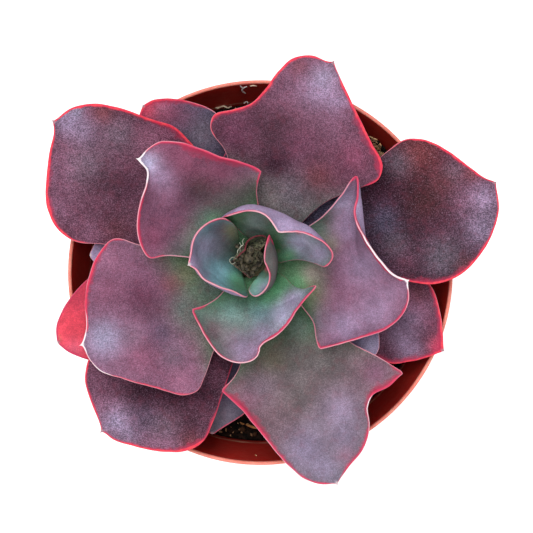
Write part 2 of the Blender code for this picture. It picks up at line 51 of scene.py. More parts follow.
# Pot, soil and stem, as the solids have them
RIM_HEIGHT = 92.0
RIM_RADIUS = 60.0
RIM_LIP = 1.1
RIM_LIP_HEIGHT = 1.6
BASE_RADIUS = 41.0
BASE_BEVEL = 1.2
WALL = 1.1
FLOOR = 1.6
COLLAR_HEIGHT = 12.0
COLLAR_FOOT_RADIUS = 58.9
STEP_RADIUS = 57.4
DRAIN_HOLES = 8
DRAIN_RING = 31.0
DRAIN_RADIUS = 4.0
SOIL_DEPTH = 22.5
SOIL_EDGE_DIP = 1.2
STEM_AXIS = (-2.0, 3.0)
STEM_DEPTH_IN_SOIL = 12.0
STEM_FOOT_RADIUS = 6.6
STEM_TOP_RADIUS = 3.0
STEM_TOP = 14.8

# Leaf form, as the solids have it
ATTACH_TOP = 16.6
ATTACH_STEP = 1.6
BASE_THICKNESS = 4.2
THICKNESS_AT = (0.0, 0.3, 0.75, 1.0)
THICKNESSES = (BASE_THICKNESS, 3.9, 3.2, 1.6)
MARGIN_SHARE = 0.3
MARGIN_LEAST = 0.8
CUP_POWER = 2.4
# The most of t * t * (1 - t), for t from 0 to 1, times this is 1
BULGE_SCALE = 27 / 4

# Fine leaf mesh: rows crowd towards the point and columns towards both margins
ROWS = 84
COLUMNS = 44
ROW_CROWDING = 1.6
END_ROUNDING = 1.6
POINT_REACH = 0.42
MARGIN_BEAD = 0.07
MARGIN_WAVE = 0.05
# The margin's own thickness, and how fast the leaf thickens inward from it
MARGIN_THICKNESS = 0.45
MARGIN_SLOPE = 0.3
RELIEF = 0.12

# Camera: it hangs straight over the pot, as the photograph was taken
CAMERA_AT = (1.9, 1.9)
CAMERA_OVER_RIM = 1000.0
FRAME_WIDTH_AT_RIM = 166.1
SENSOR = 36.0

# The outlines below are lined up with the plane of the rim, seen from EYE, which hangs
# EYE_HEIGHT above the rim: a point at height h lies on its line of sight. All heights are of
# the upper face, from the rim. Each list runs from near the stem to the leaf's point.
EYE = (1.9, 1.9)
EYE_HEIGHT = 1000.0

LEAVES = {
    "leaf_heart_folded": {
        "place": 1, "turn": 320, "base": 4, "thick": 0.4,
        "left": [(3.2, 3.4, 18), (3.7, 6, 22.5), (3.3, 9.2, 26.5), (2.5, 11.8, 28.8), (1.6, 9, 29),
                 (1, 5.5, 28.6), (1.2, 3, 28)],
        "middle": [(2.6, 0.6, 17), (3.7, 0.5, 21), (3.6, 0.8, 25)],
        "right": [(-2.6, -3.2, 17.5), (-3.7, -5.4, 20.5), (-1.9, -7.2, 23.5), (0.6, -5.8, 25.5),
                  (2.4, -2.8, 27), (2.6, -0.4, 27.6)],
        "tip": (2, 1.4, 27.9)},
    "leaf_inner_left": {
        "place": 2, "turn": 182, "base": 6, "thick": 0.8,
        "left": [(-4.6, -3.8, 20), (-4.3, -7.4, 27), (-8, -5.8, 31), (-13, -4.1, 34), (-17.7, -1.7, 36),
                 (-20, 1.2, 36.8)],
        "middle": [(-9.5, 3.2, 16), (-14.5, 4, 22), (-18.8, 4.3, 29.5), (-20.8, 3.4, 35)],
        "right": [(-6.6, 11, 20), (-8.6, 15.2, 27.5), (-12.2, 16.8, 32), (-17, 14.8, 34.5),
                  (-20.4, 10.8, 36), (-21.5, 6, 36.8)],
        "tip": (-22.3, 2.5, 37)},
    "leaf_inner_top": {
        "place": 3, "turn": 34, "base": 7, "thick": 0.8,
        "left": [(-4, 10.8, 16.8), (-8.4, 15, 21.6), (-12, 16.6, 27.2), (-8.8, 17.8, 31), (-3.4, 19, 33.4),
                 (1.6, 17.6, 34.4), (4.3, 14.2, 34.4), (5.4, 12.6, 34), (8.6, 12.4, 33.8)],
        "middle": [(5, 9, 17), (8.2, 12.2, 22.4), (10.8, 14, 28), (12, 14, 32)],
        "right": [(6, 3.2, 15), (12, 4.2, 21), (17.2, 2.9, 26.5), (20.2, 1.9, 29), (22.5, 5.2, 31.5),
                  (20.4, 8.6, 33), (16, 11.1, 33.6)],
        "tip": (12.3, 12.5, 33.7),
        "bulge_left": 3.4},
    "leaf_inner_bottom": {
        "place": 4, "turn": 274, "base": 8, "thick": 0.9,
        "left": [(6.2, -0.4, 16), (10.2, -4, 21.5), (13.7, -5, 27), (17.2, -4.1, 30.5), (14.6, -7.1, 30),
                 (11.5, -11.2, 29), (8.4, -16.2, 28), (5.2, -19.4, 27.2), (1.2, -21.6, 26.8),
                 (-0.3, -23.6, 26.8)],
        "middle": [(-2.6, -7, 14), (-3.6, -14, 18.5), (-4.2, -20, 22.5), (-2.6, -24.4, 25.6)],
        "right": [(-9.6, -3.8, 16.5), (-13.4, -8, 20.5), (-17, -10.2, 23.5), (-20.2, -11.3, 25.7), (-21.1, -11.6, 26),
                  (-20.8, -12.4, 26),
                  (-18.9, -16.2, 26), (-15.7, -22, 26), (-11.7, -26.3, 26), (-6.6, -28.1, 26.3),
                  (-2.3, -27.2, 26.7)],
        "tip": (-0.2, -25.2, 27)},
    "leaf_upper_left_inner": {
        "place": 5, "turn": 140, "base": 7.5, "thick": 1,
        "left": [(-12, 3.8, 13.4), (-21.7, 4.8, 18), (-30.3, 5.3, 22), (-34.5, 4.6, 24), (-37.2, 8.4, 25.4),
                 (-38.3, 14.5, 26.4), (-37.2, 22, 27), (-35.2, 28.1, 27.6), (-35, 32.4, 28.6)],
        "middle": [(-10.5, 11.5, 11.5), (-18.5, 20, 16.5), (-27, 28, 22), (-33.5, 32.6, 26.6)],
        "right": [(-2.4, 12.5, 13), (-0.6, 18.7, 17.5), (-1.2, 25.8, 23), (-0.2, 30.4, 26.8), (0.1, 31.5, 27.5),
                  (-0.9, 32.2, 27.5),
                  (-6.5, 34.4, 27.5), (-12.4, 35.9, 27.5), (-19, 38.6, 28), (-25.7, 40.6, 28.5),
                  (-31.6, 40.6, 29), (-35.4, 38.2, 29.2)],
        "tip": (-38, 34.9, 29.4)},
    "leaf_right_inner": {
        "place": 6, "turn": 353, "base": 8, "thick": 1,
        "left": [(7, 9, 12.2), (13, 12.9, 17.6), (19.6, 17.4, 24), (25.4, 24, 30), (29.9, 29.9, 34),
                 (30, 24, 34.3), (29, 18.7, 34), (32.3, 10.7, 33), (37, 3.8, 31.4), (42, -1.3, 29.8)],
        "middle": [(10.5, 1.2, 9.5), (20, -0.4, 13.5), (30, -2, 18.5), (40, -3.2, 25.5)],
        "right": [(7, -4, 9), (13.5, -11, 13), (16.9, -16, 16), (17.6, -21, 19), (18.1, -22.9, 20),
                  (18.4, -23.7, 20.4), (19.4, -23.5, 20.4), (24, -22.3, 20.4), (32, -20, 21), (39, -17.6, 23), (43.5, -14, 25),
                  (46, -9, 27.4)],
        "tip": (45.7, -2.4, 29.4),
        "bulge_left": 1.8},
    "leaf_left_lower": {
        "place": 7, "turn": 206, "base": 8, "thick": 1,
        "left": [(-8.5, -12, 7.5), (-14.5, -24.3, 12), (-17.6, -33, 14.5), (-19.6, -36.8, 15.6),
                 (-23, -38.1, 16.2), (-31.3, -36.3, 17), (-43.4, -32.9, 18), (-50.4, -30.3, 19),
                 (-53.5, -26.6, 19.6)],
        "middle": [(-14.5, -3.4, 8), (-26.5, -8.6, 11.5), (-38.5, -14, 15), (-49, -19, 18)],
        "right": [(-15, 4.8, 6.8), (-27, 7, 12), (-37.8, 8.6, 16.6), (-45.9, 10.4, 18.8), (-49.9, 6.7, 19.2),
                  (-53.2, -0.6, 19.6), (-54.7, -9, 19.6), (-54.2, -17, 19.8)],
        "tip": (-55.4, -22.2, 20)},
    "leaf_top": {
        "place": 8, "turn": 68, "base": 8, "thick": 1,
        "left": [(-6, 17, 8), (-8, 28, 12), (-11, 38, 15.4), (-15.6, 46, 18), (-14.9, 48.6, 18.2),
                 (-8.5, 50.7, 18), (-2.6, 52.8, 17.6), (1.6, 57.2, 17.2), (5.7, 62.9, 17), (10.4, 66.9, 17),
                 (16.3, 67.6, 17), (20.4, 66, 17)],
        "middle": [(3.5, 17, 7), (8.5, 30, 11), (14, 44, 14.2), (19, 57, 16.2)],
        "right": [(8, 10, 7.4), (12.8, 15.6, 10), (20, 22, 13.4), (31.3, 26.7, 16.8), (36.8, 29.2, 18.6),
                  (38, 32.8, 19), (34.5, 40.5, 19), (29.1, 51.7, 18.2), (25.2, 60, 17.4)],
        "tip": (22.8, 65.4, 17)},
    "leaf_bottom": {
        "place": 9, "turn": 291, "base": 8, "thick": 1,
        "left": [(10.5, -6.5, 6), (20, -15.5, 10.6), (28, -21.8, 14), (36.5, -26.2, 17), (43.5, -30.5, 19.4),
                 (44.5, -31.1, 19.6), (43.7, -31.9, 19.6),
                 (40.4, -35.1, 19), (35, -38, 18), (33.4, -42, 17.6), (34, -47.4, 17.6),
                 (32, -55, 17.4), (27.6, -60.5, 17)],
        "middle": [(5, -13, 5.5), (11, -28, 10), (16.5, -44, 13.6), (21.2, -57, 16)],
        "right": [(-4.4, -14, 6.6), (-5, -24, 10.4), (-7.9, -32.2, 13.6), (-11.3, -35.9, 15.4), (-12.2, -36.6, 15.6),
                  (-11.4, -37.4, 15.6),
                  (-6.4, -42, 15.6), (0, -49.7, 15.6), (8, -59.4, 16), (13.6, -64.2, 16.5),
                  (19.6, -66, 17)],
        "tip": (23.9, -65.6, 17.2)},
    "leaf_upper_left": {
        "place": 10, "turn": 145, "base": 8, "thick": 1,
        "left": [(-20, 5.2, 4), (-36, 8, 8), (-49.9, 9, 11), (-58.8, 10.2, 12.4), (-63.7, 14.3, 12.8),
                 (-66.6, 21, 12.8), (-66.6, 30, 12.4), (-65.6, 38, 12), (-64.3, 44, 11.6)],
        "middle": [(-16.5, 13, 2.2), (-32, 24, 5.4), (-48, 35.4, 8.4), (-58, 42.4, 10.2)],
        "right": [(-8, 20, 4), (-15.5, 32, 7.6), (-22.3, 41, 10.4), (-27.1, 45.4, 11.6),
                  (-34, 47.6, 12), (-43.9, 51.2, 12.4), (-52.3, 52.6, 12.2), (-59, 51.2, 11.8)],
        "tip": (-64.5, 47, 11.4)},
    "leaf_right_upper": {
        "place": 11, "turn": 18, "base": 8, "thick": 1,
        "left": [(10, 15, 2), (22, 25, 6), (34, 33, 9.6), (40.2, 38.2, 12), (45, 41.4, 13),
                 (51, 41.4, 13.4), (58, 38.2, 13.6), (65.9, 32.3, 13.6), (70.4, 29.2, 13.6)],
        "middle": [(15, 7.4, 1), (30, 13.2, 4.8), (48, 19.4, 9), (63, 25, 12)],
        "right": [(18, -0.6, 2.6), (32, -2.2, 7.4), (44, -2.4, 11), (54, -3.5, 13.2), (61, -1.4, 13.8),
                  (67.6, 4.4, 14.2), (72.3, 12.3, 14.2), (74.3, 20, 14)],
        "tip": (73.2, 28.3, 13.6)},
    "leaf_lower_left": {
        "place": 12, "turn": 228, "base": 8, "thick": 1,
        "left": [(-5, -13, 0), (-8.6, -28, 4), (-11.9, -38, 6.8), (-15.2, -47.4, 8.8), (-17.9, -52.6, 9.6),
                 (-22.4, -55.3, 9.8), (-31, -55.7, 9.8), (-40, -53.9, 9.6), (-46, -51.9, 9.3)],
        "middle": [(-14.5, -9.6, -1), (-25, -22, 2), (-35.6, -34.4, 5), (-44, -43.8, 7.6)],
        "right": [(-22, -4, 1.4), (-38, -12, 5.6), (-49, -20, 8.4), (-53.9, -28, 9.6),
                  (-54.6, -33.5, 9.8), (-52.5, -40.9, 9.6), (-50.4, -46, 9.3)],
        "tip": (-49.3, -49.2, 9.2)},
    "leaf_top_hidden": {
        "place": 13, "turn": 90, "base": 7.5, "thick": 0.9,
        "left": [(-9, 17, -2), (-12.5, 28, 1), (-11, 37, 2.4), (-5.5, 42.6, 2.8)],
        "middle": [(-1.6, 18, -3), (-1, 30, 0), (-0.6, 39, 2)],
        "right": [(5.6, 17, -2), (10.4, 28, 1), (9.4, 37, 2.4), (4.6, 42.6, 2.8)],
        "tip": (-0.4, 44.6, 3)},
    "leaf_right_lower_inner": {
        "place": 14, "turn": 326, "base": 7.5, "thick": 0.9,
        "left": [(14, 0.6, -4), (26, -4, -0.6), (34, -11.6, 1.6), (36.8, -18.4, 2.4)],
        "middle": [(13.5, -7.4, -4), (25, -15.6, -1), (33, -21.4, 1.4)],
        "right": [(7, -13.4, -4), (17, -23, -0.6), (26, -28.2, 1.4), (33, -28, 2.2)],
        "tip": (37, -24.4, 2.6)},
    "leaf_left_inner": {
        "place": 15, "turn": 178, "base": 7.5, "thick": 0.9,
        "left": [(-18, -5.6, -5), (-32, -7.6, 0), (-43, -4.6, 3.6), (-50, 1, 5.4)],
        "middle": [(-20, 3.6, -5), (-34, 4.6, 0), (-45, 5.2, 4)],
        "right": [(-18, 12.4, -5), (-32, 16.4, 0), (-43, 15.2, 3.6), (-50.6, 10.4, 5.4)],
        "tip": (-53.4, 5.4, 6)},
    "leaf_right_hidden": {
        "place": 16, "turn": 40, "base": 8, "thick": 0.9,
        "left": [(4, 16, -8), (12, 25.6, -6.4), (21, 30, -5.4), (26.6, 30.8, -5)],
        "middle": [(10.4, 13.6, -8.6), (19, 21, -6.8), (26, 27, -5.4)],
        "right": [(15, 9, -8), (25, 14.6, -6.4), (30.4, 21.6, -5.4), (31, 26.6, -5)],
        "tip": (30, 30.4, -4.8)},
    "leaf_bottom_inner": {
        "place": 17, "turn": 257, "base": 7.5, "thick": 0.9,
        "left": [(3.4, -12, -9.6), (5, -26, -8), (0.6, -38.4, -6.8), (-6, -44.7, -6.2),
                 (-11.7, -48.3, -6)],
        "middle": [(-5.6, -15, -10), (-9.4, -30, -8.4), (-12.8, -43, -6.8)],
        "right": [(-14.4, -11, -9.6), (-21.4, -26, -8), (-22.8, -38, -6.8), (-19, -47, -6)],
        "tip": (-15, -50.6, -5.8)},
    "leaf_top_left": {
        "place": 18, "turn": 124, "base": 7.5, "thick": 0.9,
        "left": [(-16, 13, -9), (-28, 25, -4), (-36.4, 37, 1.2), (-38.4, 43.6, 3.8), (-37.8, 48.8, 4.9)],
        "middle": [(-10, 17, -10), (-18, 30, -4.8), (-27, 42.4, 1), (-33, 48.6, 4)],
        "right": [(-2.6, 18, -9), (-5.6, 31, -3.8), (-9, 41.6, 1), (-14.5, 50.1, 4.4), (-21, 52.9, 5.2),
                  (-29.4, 54.2, 5.4), (-34, 53.6, 5.2)],
        "tip": (-36.6, 52, 5.2)},
    "leaf_right_lower": {
        "place": 19, "turn": 335, "base": 7.5, "thick": 0.9,
        "left": [(18, 4.6, -9.6), (36, 3.4, -3.4), (48, 0.4, 1.2), (53.6, -5, 4), (55.9, -12, 5),
                 (56.8, -19, 5.2)],
        "middle": [(15, -5, -11), (30, -11.6, -5), (44, -18.2, 1), (52, -22, 4)],
        "right": [(9, -14, -10.4), (23, -23, -5.4), (35, -26.2, -0.6), (41, -28.3, 1.4),
                  (47, -27.6, 3), (52.4, -26.2, 4.6)],
        "tip": (57, -24.4, 5.4)},
    "leaf_far_left": {
        "place": 20, "turn": 202, "base": 7.5, "thick": 0.9,
        "left": [(-13, -13, -12.6), (-28, -23, -6.8), (-42, -28, -0.4), (-50, -28, 3.2),
                 (-55.6, -26.5, 5), (-60, -24.6, 6.2)],
        "middle": [(-18, -4, -12.6), (-34, -10.2, -6.2), (-48, -15.8, 0.4), (-58, -19.6, 5)],
        "right": [(-18, 5.4, -12), (-34, 5.4, -6.6), (-46, 1.8, -1), (-53.4, -1.7, 2.4), (-58, -6.4, 4.2),
                  (-61.6, -11.6, 5.6), (-63.6, -17.2, 6.6)],
        "tip": (-63.3, -21.9, 7)},
}

# The heart's withered scales, in the same terms, each from a root inside the heart's core
HEART_CORE = [(0, 15.4), (2.6, 15.4), (3.6, 16.2), (3.2, 17.4), (1.8, 18.2), (0, 18.2)]
HEART_AXIS = (-2.4, 4.0)
HEART_SIDES = 10
HEART_SCALES = {
    "scale_red_rimmed": {
        "root": (-2.4, 5.2, 16.9), "turn": 118, "base": 4, "thick": 0.4,
        "left": [(-5.8, 3.8, 18.8), (-8.3, 3.4, 21), (-6.3, 5.4, 21.7), (-4.4, 7.2, 22.1)],
        "middle": [(-3.2, 7, 17.6), (-4.2, 8.4, 19.6)],
        "right": [(0.4, 7.4, 18), (1.8, 9.4, 19.8), (1.6, 11, 21.2), (-0.8, 11.3, 22), (-3.2, 10.2, 22.3)],
        "tip": (-4.7, 8.8, 22.3)},
    "scale_brown": {
        "root": (-3, 3.6, 16.8), "turn": 222, "base": 4, "thick": 0.4,
        "left": [(-1.8, 0.9, 17.8), (-3.2, -1.6, 19.2), (-4.8, -0.2, 19.8)],
        "middle": [(-4.2, 2.2, 17.2), (-5.4, 1.4, 18.6)],
        "right": [(-6.4, 4.4, 18.2), (-9.2, 3.4, 19.6), (-7.8, 2.2, 20)],
        "tip": (-6.3, 1, 20)},
    "scale_inner": {
        "root": (-2.2, 4.4, 17.2), "turn": 318, "base": 2.4, "thick": 0.34,
        "left": [(-0.2, 5, 18.6), (0.5, 3.9, 19.8)],
        "middle": [(-1, 3.5, 18)],
        "right": [(-2, 2.5, 18.4), (-1, 1.6, 19.6)],
        "tip": (0.2, 2.4, 20.2)},
}

# Colours, linear
PLUM = (0.120, 0.046, 0.076)
DARK_PLUM = (0.038, 0.011, 0.023)
BROWN_PLUM = (0.155, 0.037, 0.041)
DUSK = (0.068, 0.026, 0.043)
WINE = (0.115, 0.037, 0.070)
MAUVE = (0.205, 0.092, 0.152)
ROSE = (0.205, 0.058, 0.106)
PINK = (0.350, 0.140, 0.225)
HAZE = (0.265, 0.215, 0.330)
LILAC = (0.330, 0.255, 0.400)
FROST = (0.420, 0.390, 0.560)
SLATE = (0.075, 0.066, 0.112)
SMOKE = (0.150, 0.125, 0.165)
TEAL = (0.125, 0.245, 0.285)
PALE_TEAL = (0.290, 0.550, 0.660)
MINT = (0.210, 0.375, 0.355)
SEA_GREEN = (0.130, 0.190, 0.165)
LEAF_GREEN = (0.065, 0.150, 0.075)
FRESH_GREEN = (0.125, 0.400, 0.190)
DEEP_GREEN = (0.018, 0.055, 0.022)
OLIVE = (0.125, 0.120, 0.070)
ASH = (0.105, 0.100, 0.098)
TAN = (0.300, 0.210, 0.140)
STONE = (0.330, 0.270, 0.250)
CRIMSON = (0.440, 0.050, 0.100)
CORAL = (0.800, 0.078, 0.118)
UMBER = (0.048, 0.014, 0.017)
DOVE = (0.165, 0.104, 0.128)

# How each leaf looks. All places are in the outlines' terms.
#   colours: near the root, in the body, at the end and on the back
#   patches: softly edged patches of colour, each with its middle, radius and strength; a few dark ones are painted
#       shade beside a higher leaf's edge
#   margins: notes on the margin at places along it: the width of the vivid red line, how far a
#            duller red fades inward from it, and the width of the pale outermost line, a painted highlight
#   meal:    how mealy the skin looks, 1 being the oldest leaves
#   point:   the length of the thorn-like point
LOOKS = {
    "leaf_heart_folded": {
        "colours": (LEAF_GREEN, MINT, LILAC, ASH), "meal": 0.2, "point": 0,
        "patches": [(MINT, -1, -2.5, 2.6, 0.9), (FRESH_GREEN, -2.4, -2, 1.8, 0.6), (HAZE, 1.4, -5, 1.8, 0.8),
                    (PLUM, 3, 6, 3.4, 0.55), (ASH, 3.4, 2, 2, 0.6), (CRIMSON, 2, 1.2, 0.8, 0.8)],
        "margins": [(-3.7, -5, 0.2, 0, 0.3), (0.5, -6.5, 0.2, 0, 0.3), (2, 0, 0.22, 0.5, 0.2),
                    (1.4, 6, 0.25, 0.3, 0.25), (2.5, 11.8, 0.3, 1, 0.1), (4.2, 6, 0.1, 0, 0.2)]},
    "leaf_inner_left": {
        "colours": (DEEP_GREEN, TEAL, LILAC, LILAC), "meal": 0.3, "point": 1.0,
        "patches": [(SMOKE, -14, 8, 5, 0.7), (HAZE, -18, 8, 4, 0.7), (LILAC, -20, 3, 2.5, 0.6),
                    (DUSK, -12.4, 13.4, 3.8, 0.75), (PALE_TEAL, -12, -1.4, 4.5, 0.9), (FRESH_GREEN, -8, -2, 3, 0.6),
                    (HAZE, -17, -0.5, 2, 0.5),
                    # Painted shade: the olive patch at (-9, 13.4) is the shade where leaf_inner_top overlaps this
                    # leaf
                    (LEAF_GREEN, -7, -5, 3, 0.7), (OLIVE, -9, 13.4, 2.6, 0.9)],
        "margins": [(-20, 11, 0.35, 0.5, 0.3), (-22, 3, 0.35, 0.5, 0.3), (-13, 16.6, 0.4, 0.6, 0.25),
                    (-16, -3, 0.35, 0.6, 0.35), (-8, -6, 0.3, 0.3, 0.3), (-8, 15, 0, 0, 0.1),
                    (-6, 10, 0, 0, 0), (-4.4, -5, 0, 0, 0.2)]},
    "leaf_inner_top": {
        "colours": (DEEP_GREEN, LEAF_GREEN, LILAC, LILAC), "meal": 0.3, "point": 0,
        "patches": [(SEA_GREEN, 14, 4, 3.5, 0.5), (FROST, 12, 9.4, 4.2, 0.9), (HAZE, 18.5, 6, 4.8, 0.9),
                    (CRIMSON, 12, 12.8, 0.8, 0.9), (FRESH_GREEN, 9, 5.4, 2.4, 0.6),
                    # Painted shade: the deep green patch at (4.5, 8) is the shaded valley between this leaf's two
                    # lobes
                    (SMOKE, -1, 16, 4.4, 0.7), (DEEP_GREEN, 4.5, 8, 3.8, 1.0), (SEA_GREEN, -1, 14.5, 3, 0.5)],
        "margins": [(-9, 18.4, 0.45, 0.4, 0.3), (-10.6, 15.8, 0.1, 0, 0.1), (-8.2, 14.6, 0, 0, 0),
                    (-5, 11.6, 0, 0, 0), (1, 18.4, 0.4, 0.3, 0.35), (5, 13, 0.3, 0.3, 0.4),
                    (14, 11.8, 0.45, 0.3, 0.3), (21, 8, 0.45, 0.3, 0.2), (21.5, 3, 0.4, 0.4, 0.2),
                    (18.6, 3, 0.1, 0, 0.15), (15, 3.5, 0, 0, 0.06), (8, 3.6, 0, 0, 0)]},
    "leaf_inner_bottom": {
        "colours": (LEAF_GREEN, SEA_GREEN, MAUVE, CRIMSON), "meal": 0.45, "point": 0,
        "patches": [(TEAL, 1, -12, 4.5, 0.7), (MINT, -9, -12, 4, 0.5), (FRESH_GREEN, 3, -5.6, 4.8, 1.0),
                    (LILAC, 10, -9, 3.2, 0.9), (FROST, 7, -13, 4, 0.9), (FROST, 12, -7.6, 2.6, 0.5),
                    (LILAC, 1, -19, 4, 0.7),
                    (ROSE, -15, -18, 3.6, 0.5), (MAUVE, -9, -21, 5, 0.5), (LILAC, -5, -24, 4.4, 0.7)],
        "margins": [(-20.5, -12, 0.42, 1, 0.15), (-17, -18, 0.5, 1.2, 0.25), (-12.5, -25.8, 0.45, 0.6, 0.35),
                    (-6, -28, 0.35, 0.4, 0.4), (-0.5, -25, 0.4, 0.8, 0.4), (3, -21, 0.8, 0.8, 0.3),
                    (9, -15, 0.8, 0.8, 0.25), (14, -7.6, 0.75, 0.8, 0.15), (17, -4.4, 0.4, 0.5, 0.2),
                    (15.2, -4.5, 0, 0, 0.1), (12, -4.8, 0, 0, 0.08), (9, -3.4, 0, 0, 0.1), (-14, -8, 0.05, 0, 0.25)]},
    "leaf_upper_left_inner": {
        "colours": (LEAF_GREEN, MAUVE, ROSE, MAUVE), "meal": 0.5, "point": 1.5,
        "patches": [(SEA_GREEN, -16, 16, 5.5, 0.9), (ASH, -9, 24, 6.5, 0.85), (DUSK, -19.5, 28, 6.5, 0.9), (DEEP_GREEN, -18, 26, 5, 0.3),
                    (WINE, -31, 18, 8, 0.5), (ROSE, -34, 11, 5, 0.8), (MAUVE, -30, 23, 4, 0.5),
                    (ROSE, -12, 33, 6, 0.8), (DARK_PLUM, -27, 38, 3, 0.5), (ROSE, -25, 37, 5, 0.6),
                    (FROST, -35, 34, 3.6, 0.95), (LILAC, -31, 30, 4.4, 0.5), (SMOKE, -25, 8, 4, 0.4),
                    (FRESH_GREEN, -14.5, 15.5, 2.6, 0.5), (ROSE, -22, 34, 5, 0.6)],
        "margins": [(-38, 35, 0.1, 0, 0.8), (-35.1, 31, 0.15, 0, 0.7), (-35.6, 26, 0.5, 0.8, 0.4),
                    (-37.6, 20, 0.75, 1.2, 0.3), (-38.3, 13, 0.75, 1.5, 0.3), (-36, 6, 0.6, 1, 0.25),
                    (-33, 4.8, 0.4, 0.4, 0.2), (-27, 5.2, 0, 0, 0.3), (-18, 4.6, 0.1, 0, 0.3),
                    (-34, 39.6, 0.45, 0.4, 0.3), (-29, 40.8, 0.5, 1.2, 0.25), (-20, 38.8, 0.65, 4.2, 0.15),
                    (-10, 35.2, 0.7, 3.6, 0.15), (-2, 32.4, 0.6, 1.8, 0.1), (-0.3, 30.6, 0.4, 0.6, 0.15),
                    (-0.8, 25, 0.25, 0, 0.25), (-0.6, 19, 0.25, 0, 0.25)]},
    "leaf_right_inner": {
        "colours": (LEAF_GREEN, MAUVE, MAUVE, LILAC), "meal": 0.45, "point": 1.2,
        "patches": [(SEA_GREEN, 16, 14, 4.5, 0.7), (FROST, 25.8, 22.6, 4.6, 0.6), (LILAC, 27.5, 14, 5, 0.6),
                    # Painted shade: the olive patch at (22.5, 9) stands for the shade under leaf_inner_top's lobe
                    (OLIVE, 22.5, 9, 2.8, 0.6), (STONE, 16, -0.6, 3.4, 0.8), (OLIVE, 16, -6, 4.5, 0.6),
                    (LILAC, 32, 2, 6, 0.6), (SMOKE, 19, -15, 3.6, 0.6), (LILAC, 41, -8, 5, 0.4),
                    (PINK, 43, -10, 3.6, 0.4), (LILAC, 35, -13, 6, 0.5), (LILAC, 26, -17, 5, 0.7),
                    (FRESH_GREEN, 12, -3.4, 3, 0.4)],
        "margins": [(14, 14, 0, 0, 0.2), (22, 21, 0, 0, 0.25), (27.5, 27, 0.1, 0, 0.25),
                    (29.8, 29.4, 0.7, 0.5, 0.1), (29.9, 25, 0.55, 0.2, 0.1), (29.2, 18.5, 0.75, 0.3, 0.15),
                    (31, 13.4, 1.5, 0.6, 0.35), (33, 9.5, 2.1, 0.6, 0.55), (38, 2.8, 2.1, 0.6, 0.75),
                    (43, -1.6, 1.5, 0.3, 0.9),
                    (45.7, -2.6, 0.05, 0, 0.7), (46.2, -7, 0.4, 0.6, 0.3), (44, -13.4, 0.6, 1, 0.2),
                    (37, -18.2, 0.65, 1, 0.2), (26, -21.6, 0.55, 0.8, 0.25), (19, -23.4, 0.5, 0.8, 0.25),
                    (17.6, -20, 0.05, 0, 0.2), (14, -12, 0, 0, 0.25)]},
    "leaf_left_lower": {
        "colours": (LEAF_GREEN, MAUVE, MAUVE, MAUVE), "meal": 0.6, "point": 1.4,
        "patches": [(SEA_GREEN, -15, -5, 5, 0.8), (ASH, -17, -3.4, 3.4, 0.5), (OLIVE, -23, 0, 4, 0.7), (BROWN_PLUM, -28, -3.6, 3.2, 0.6),
                    (PINK, -46, 5, 4, 0.3), (ROSE, -48, -6, 6, 0.4), (WINE, -37, -7, 6.5, 0.95),
                    (DUSK, -33, -13, 5, 0.6), (SLATE, -31, -19, 4.5, 0.6), (ASH, -22, -14, 6, 0.9), (SEA_GREEN, -24, -11, 4, 0.5),
                    (HAZE, -48.4, -21, 6, 0.85), (FROST, -49, -20, 4.2, 0.5), (WINE, -28, -31, 6, 0.4), (ROSE, -37, -26, 6, 0.5), (SMOKE, -40, -20, 4, 0.3),
                    (SMOKE, -27, -26, 4, 0.5), (PINK, -25, -34, 4.5, 0.35)],
        "margins": [(-30, 7.6, 0, 0, 0.2), (-40, 9, 0.1, 0, 0.3), (-46, 10, 0.35, 0.6, 0.25),
                    (-50.5, 6, 0.6, 1.4, 0.2), (-53.4, -1, 0.7, 1.6, 0.25), (-54.7, -9, 0.65, 1.4, 0.15),
                    (-54.3, -16, 0.5, 0.6, 0.4), (-55, -22, 0, 0, 0.7), (-53.4, -27, 0.2, 0, 0.4),
                    (-50, -30.4, 0.2, 0, 0.5), (-43, -33, 0.4, 0.4, 0.3), (-34, -35.6, 0.45, 0.6, 0.25),
                    (-24, -38, 0.4, 0.6, 0.25), (-19.4, -36.6, 0.2, 0.2, 0.25), (-16, -29, 0, 0, 0.3)]},
    "leaf_top": {
        "colours": (ASH, PLUM, MAUVE, MAUVE), "meal": 0.8, "point": 1.3,
        # Painted shade: the dark plum patch at (4.6, 35) is the shade beside leaf_upper_left_inner's overhanging edge
        "patches": [(STONE, 5, 24, 5, 0.4), (SMOKE, 9, 25, 7, 0.6), (DARK_PLUM, 4.6, 35, 5.8, 1.0),
                    (BROWN_PLUM, 18, 30, 4.5, 0.6), (WINE, -8, 43.6, 7, 0.95), (DUSK, 4.6, 43.4, 7, 1.0),
                    (ROSE, 29, 36, 5, 0.85), (MAUVE, 22, 45, 5, 0.5), (WINE, 13, 40, 5, 0.7),
                    (MAUVE, 8, 57, 5, 0.6), (LILAC, 18, 57, 5.4, 0.5), (FROST, 20, 61, 3.6, 0.4),
                    (BROWN_PLUM, 12, 64.5, 3, 0.5), (LILAC, 24, 54, 4, 0.4)],
        "margins": [(-9, 30, 0.05, 0, 0.2), (-12, 40, 0.1, 0, 0.25), (-15.4, 46, 0.35, 0.4, 0.25),
                    (-13, 49.4, 0.5, 1.6, 0.15), (-4, 52.4, 0.5, 1.6, 0.15), (2, 58, 0.65, 1.2, 0.1),
                    (8, 65.4, 0.8, 1, 0.1), (16, 67.6, 0.75, 1, 0.1), (21, 66, 0.4, 0.4, 0.1),
                    (24, 63, 0.3, 0.4, 0.3), (27, 56, 0.75, 1.2, 0.1), (33, 43.4, 0.8, 2.4, 0.1),
                    (38, 33, 0.8, 3, 0.05), (36.6, 29.4, 0.3, 0.8, 0.1), (30, 26.4, 0, 0, 0.1),
                    (25, 24, 0, 0, 0.08), (20, 21.4, 0, 0, 0.08), (13, 15.6, 0, 0, 0.08)]},
    "leaf_bottom": {
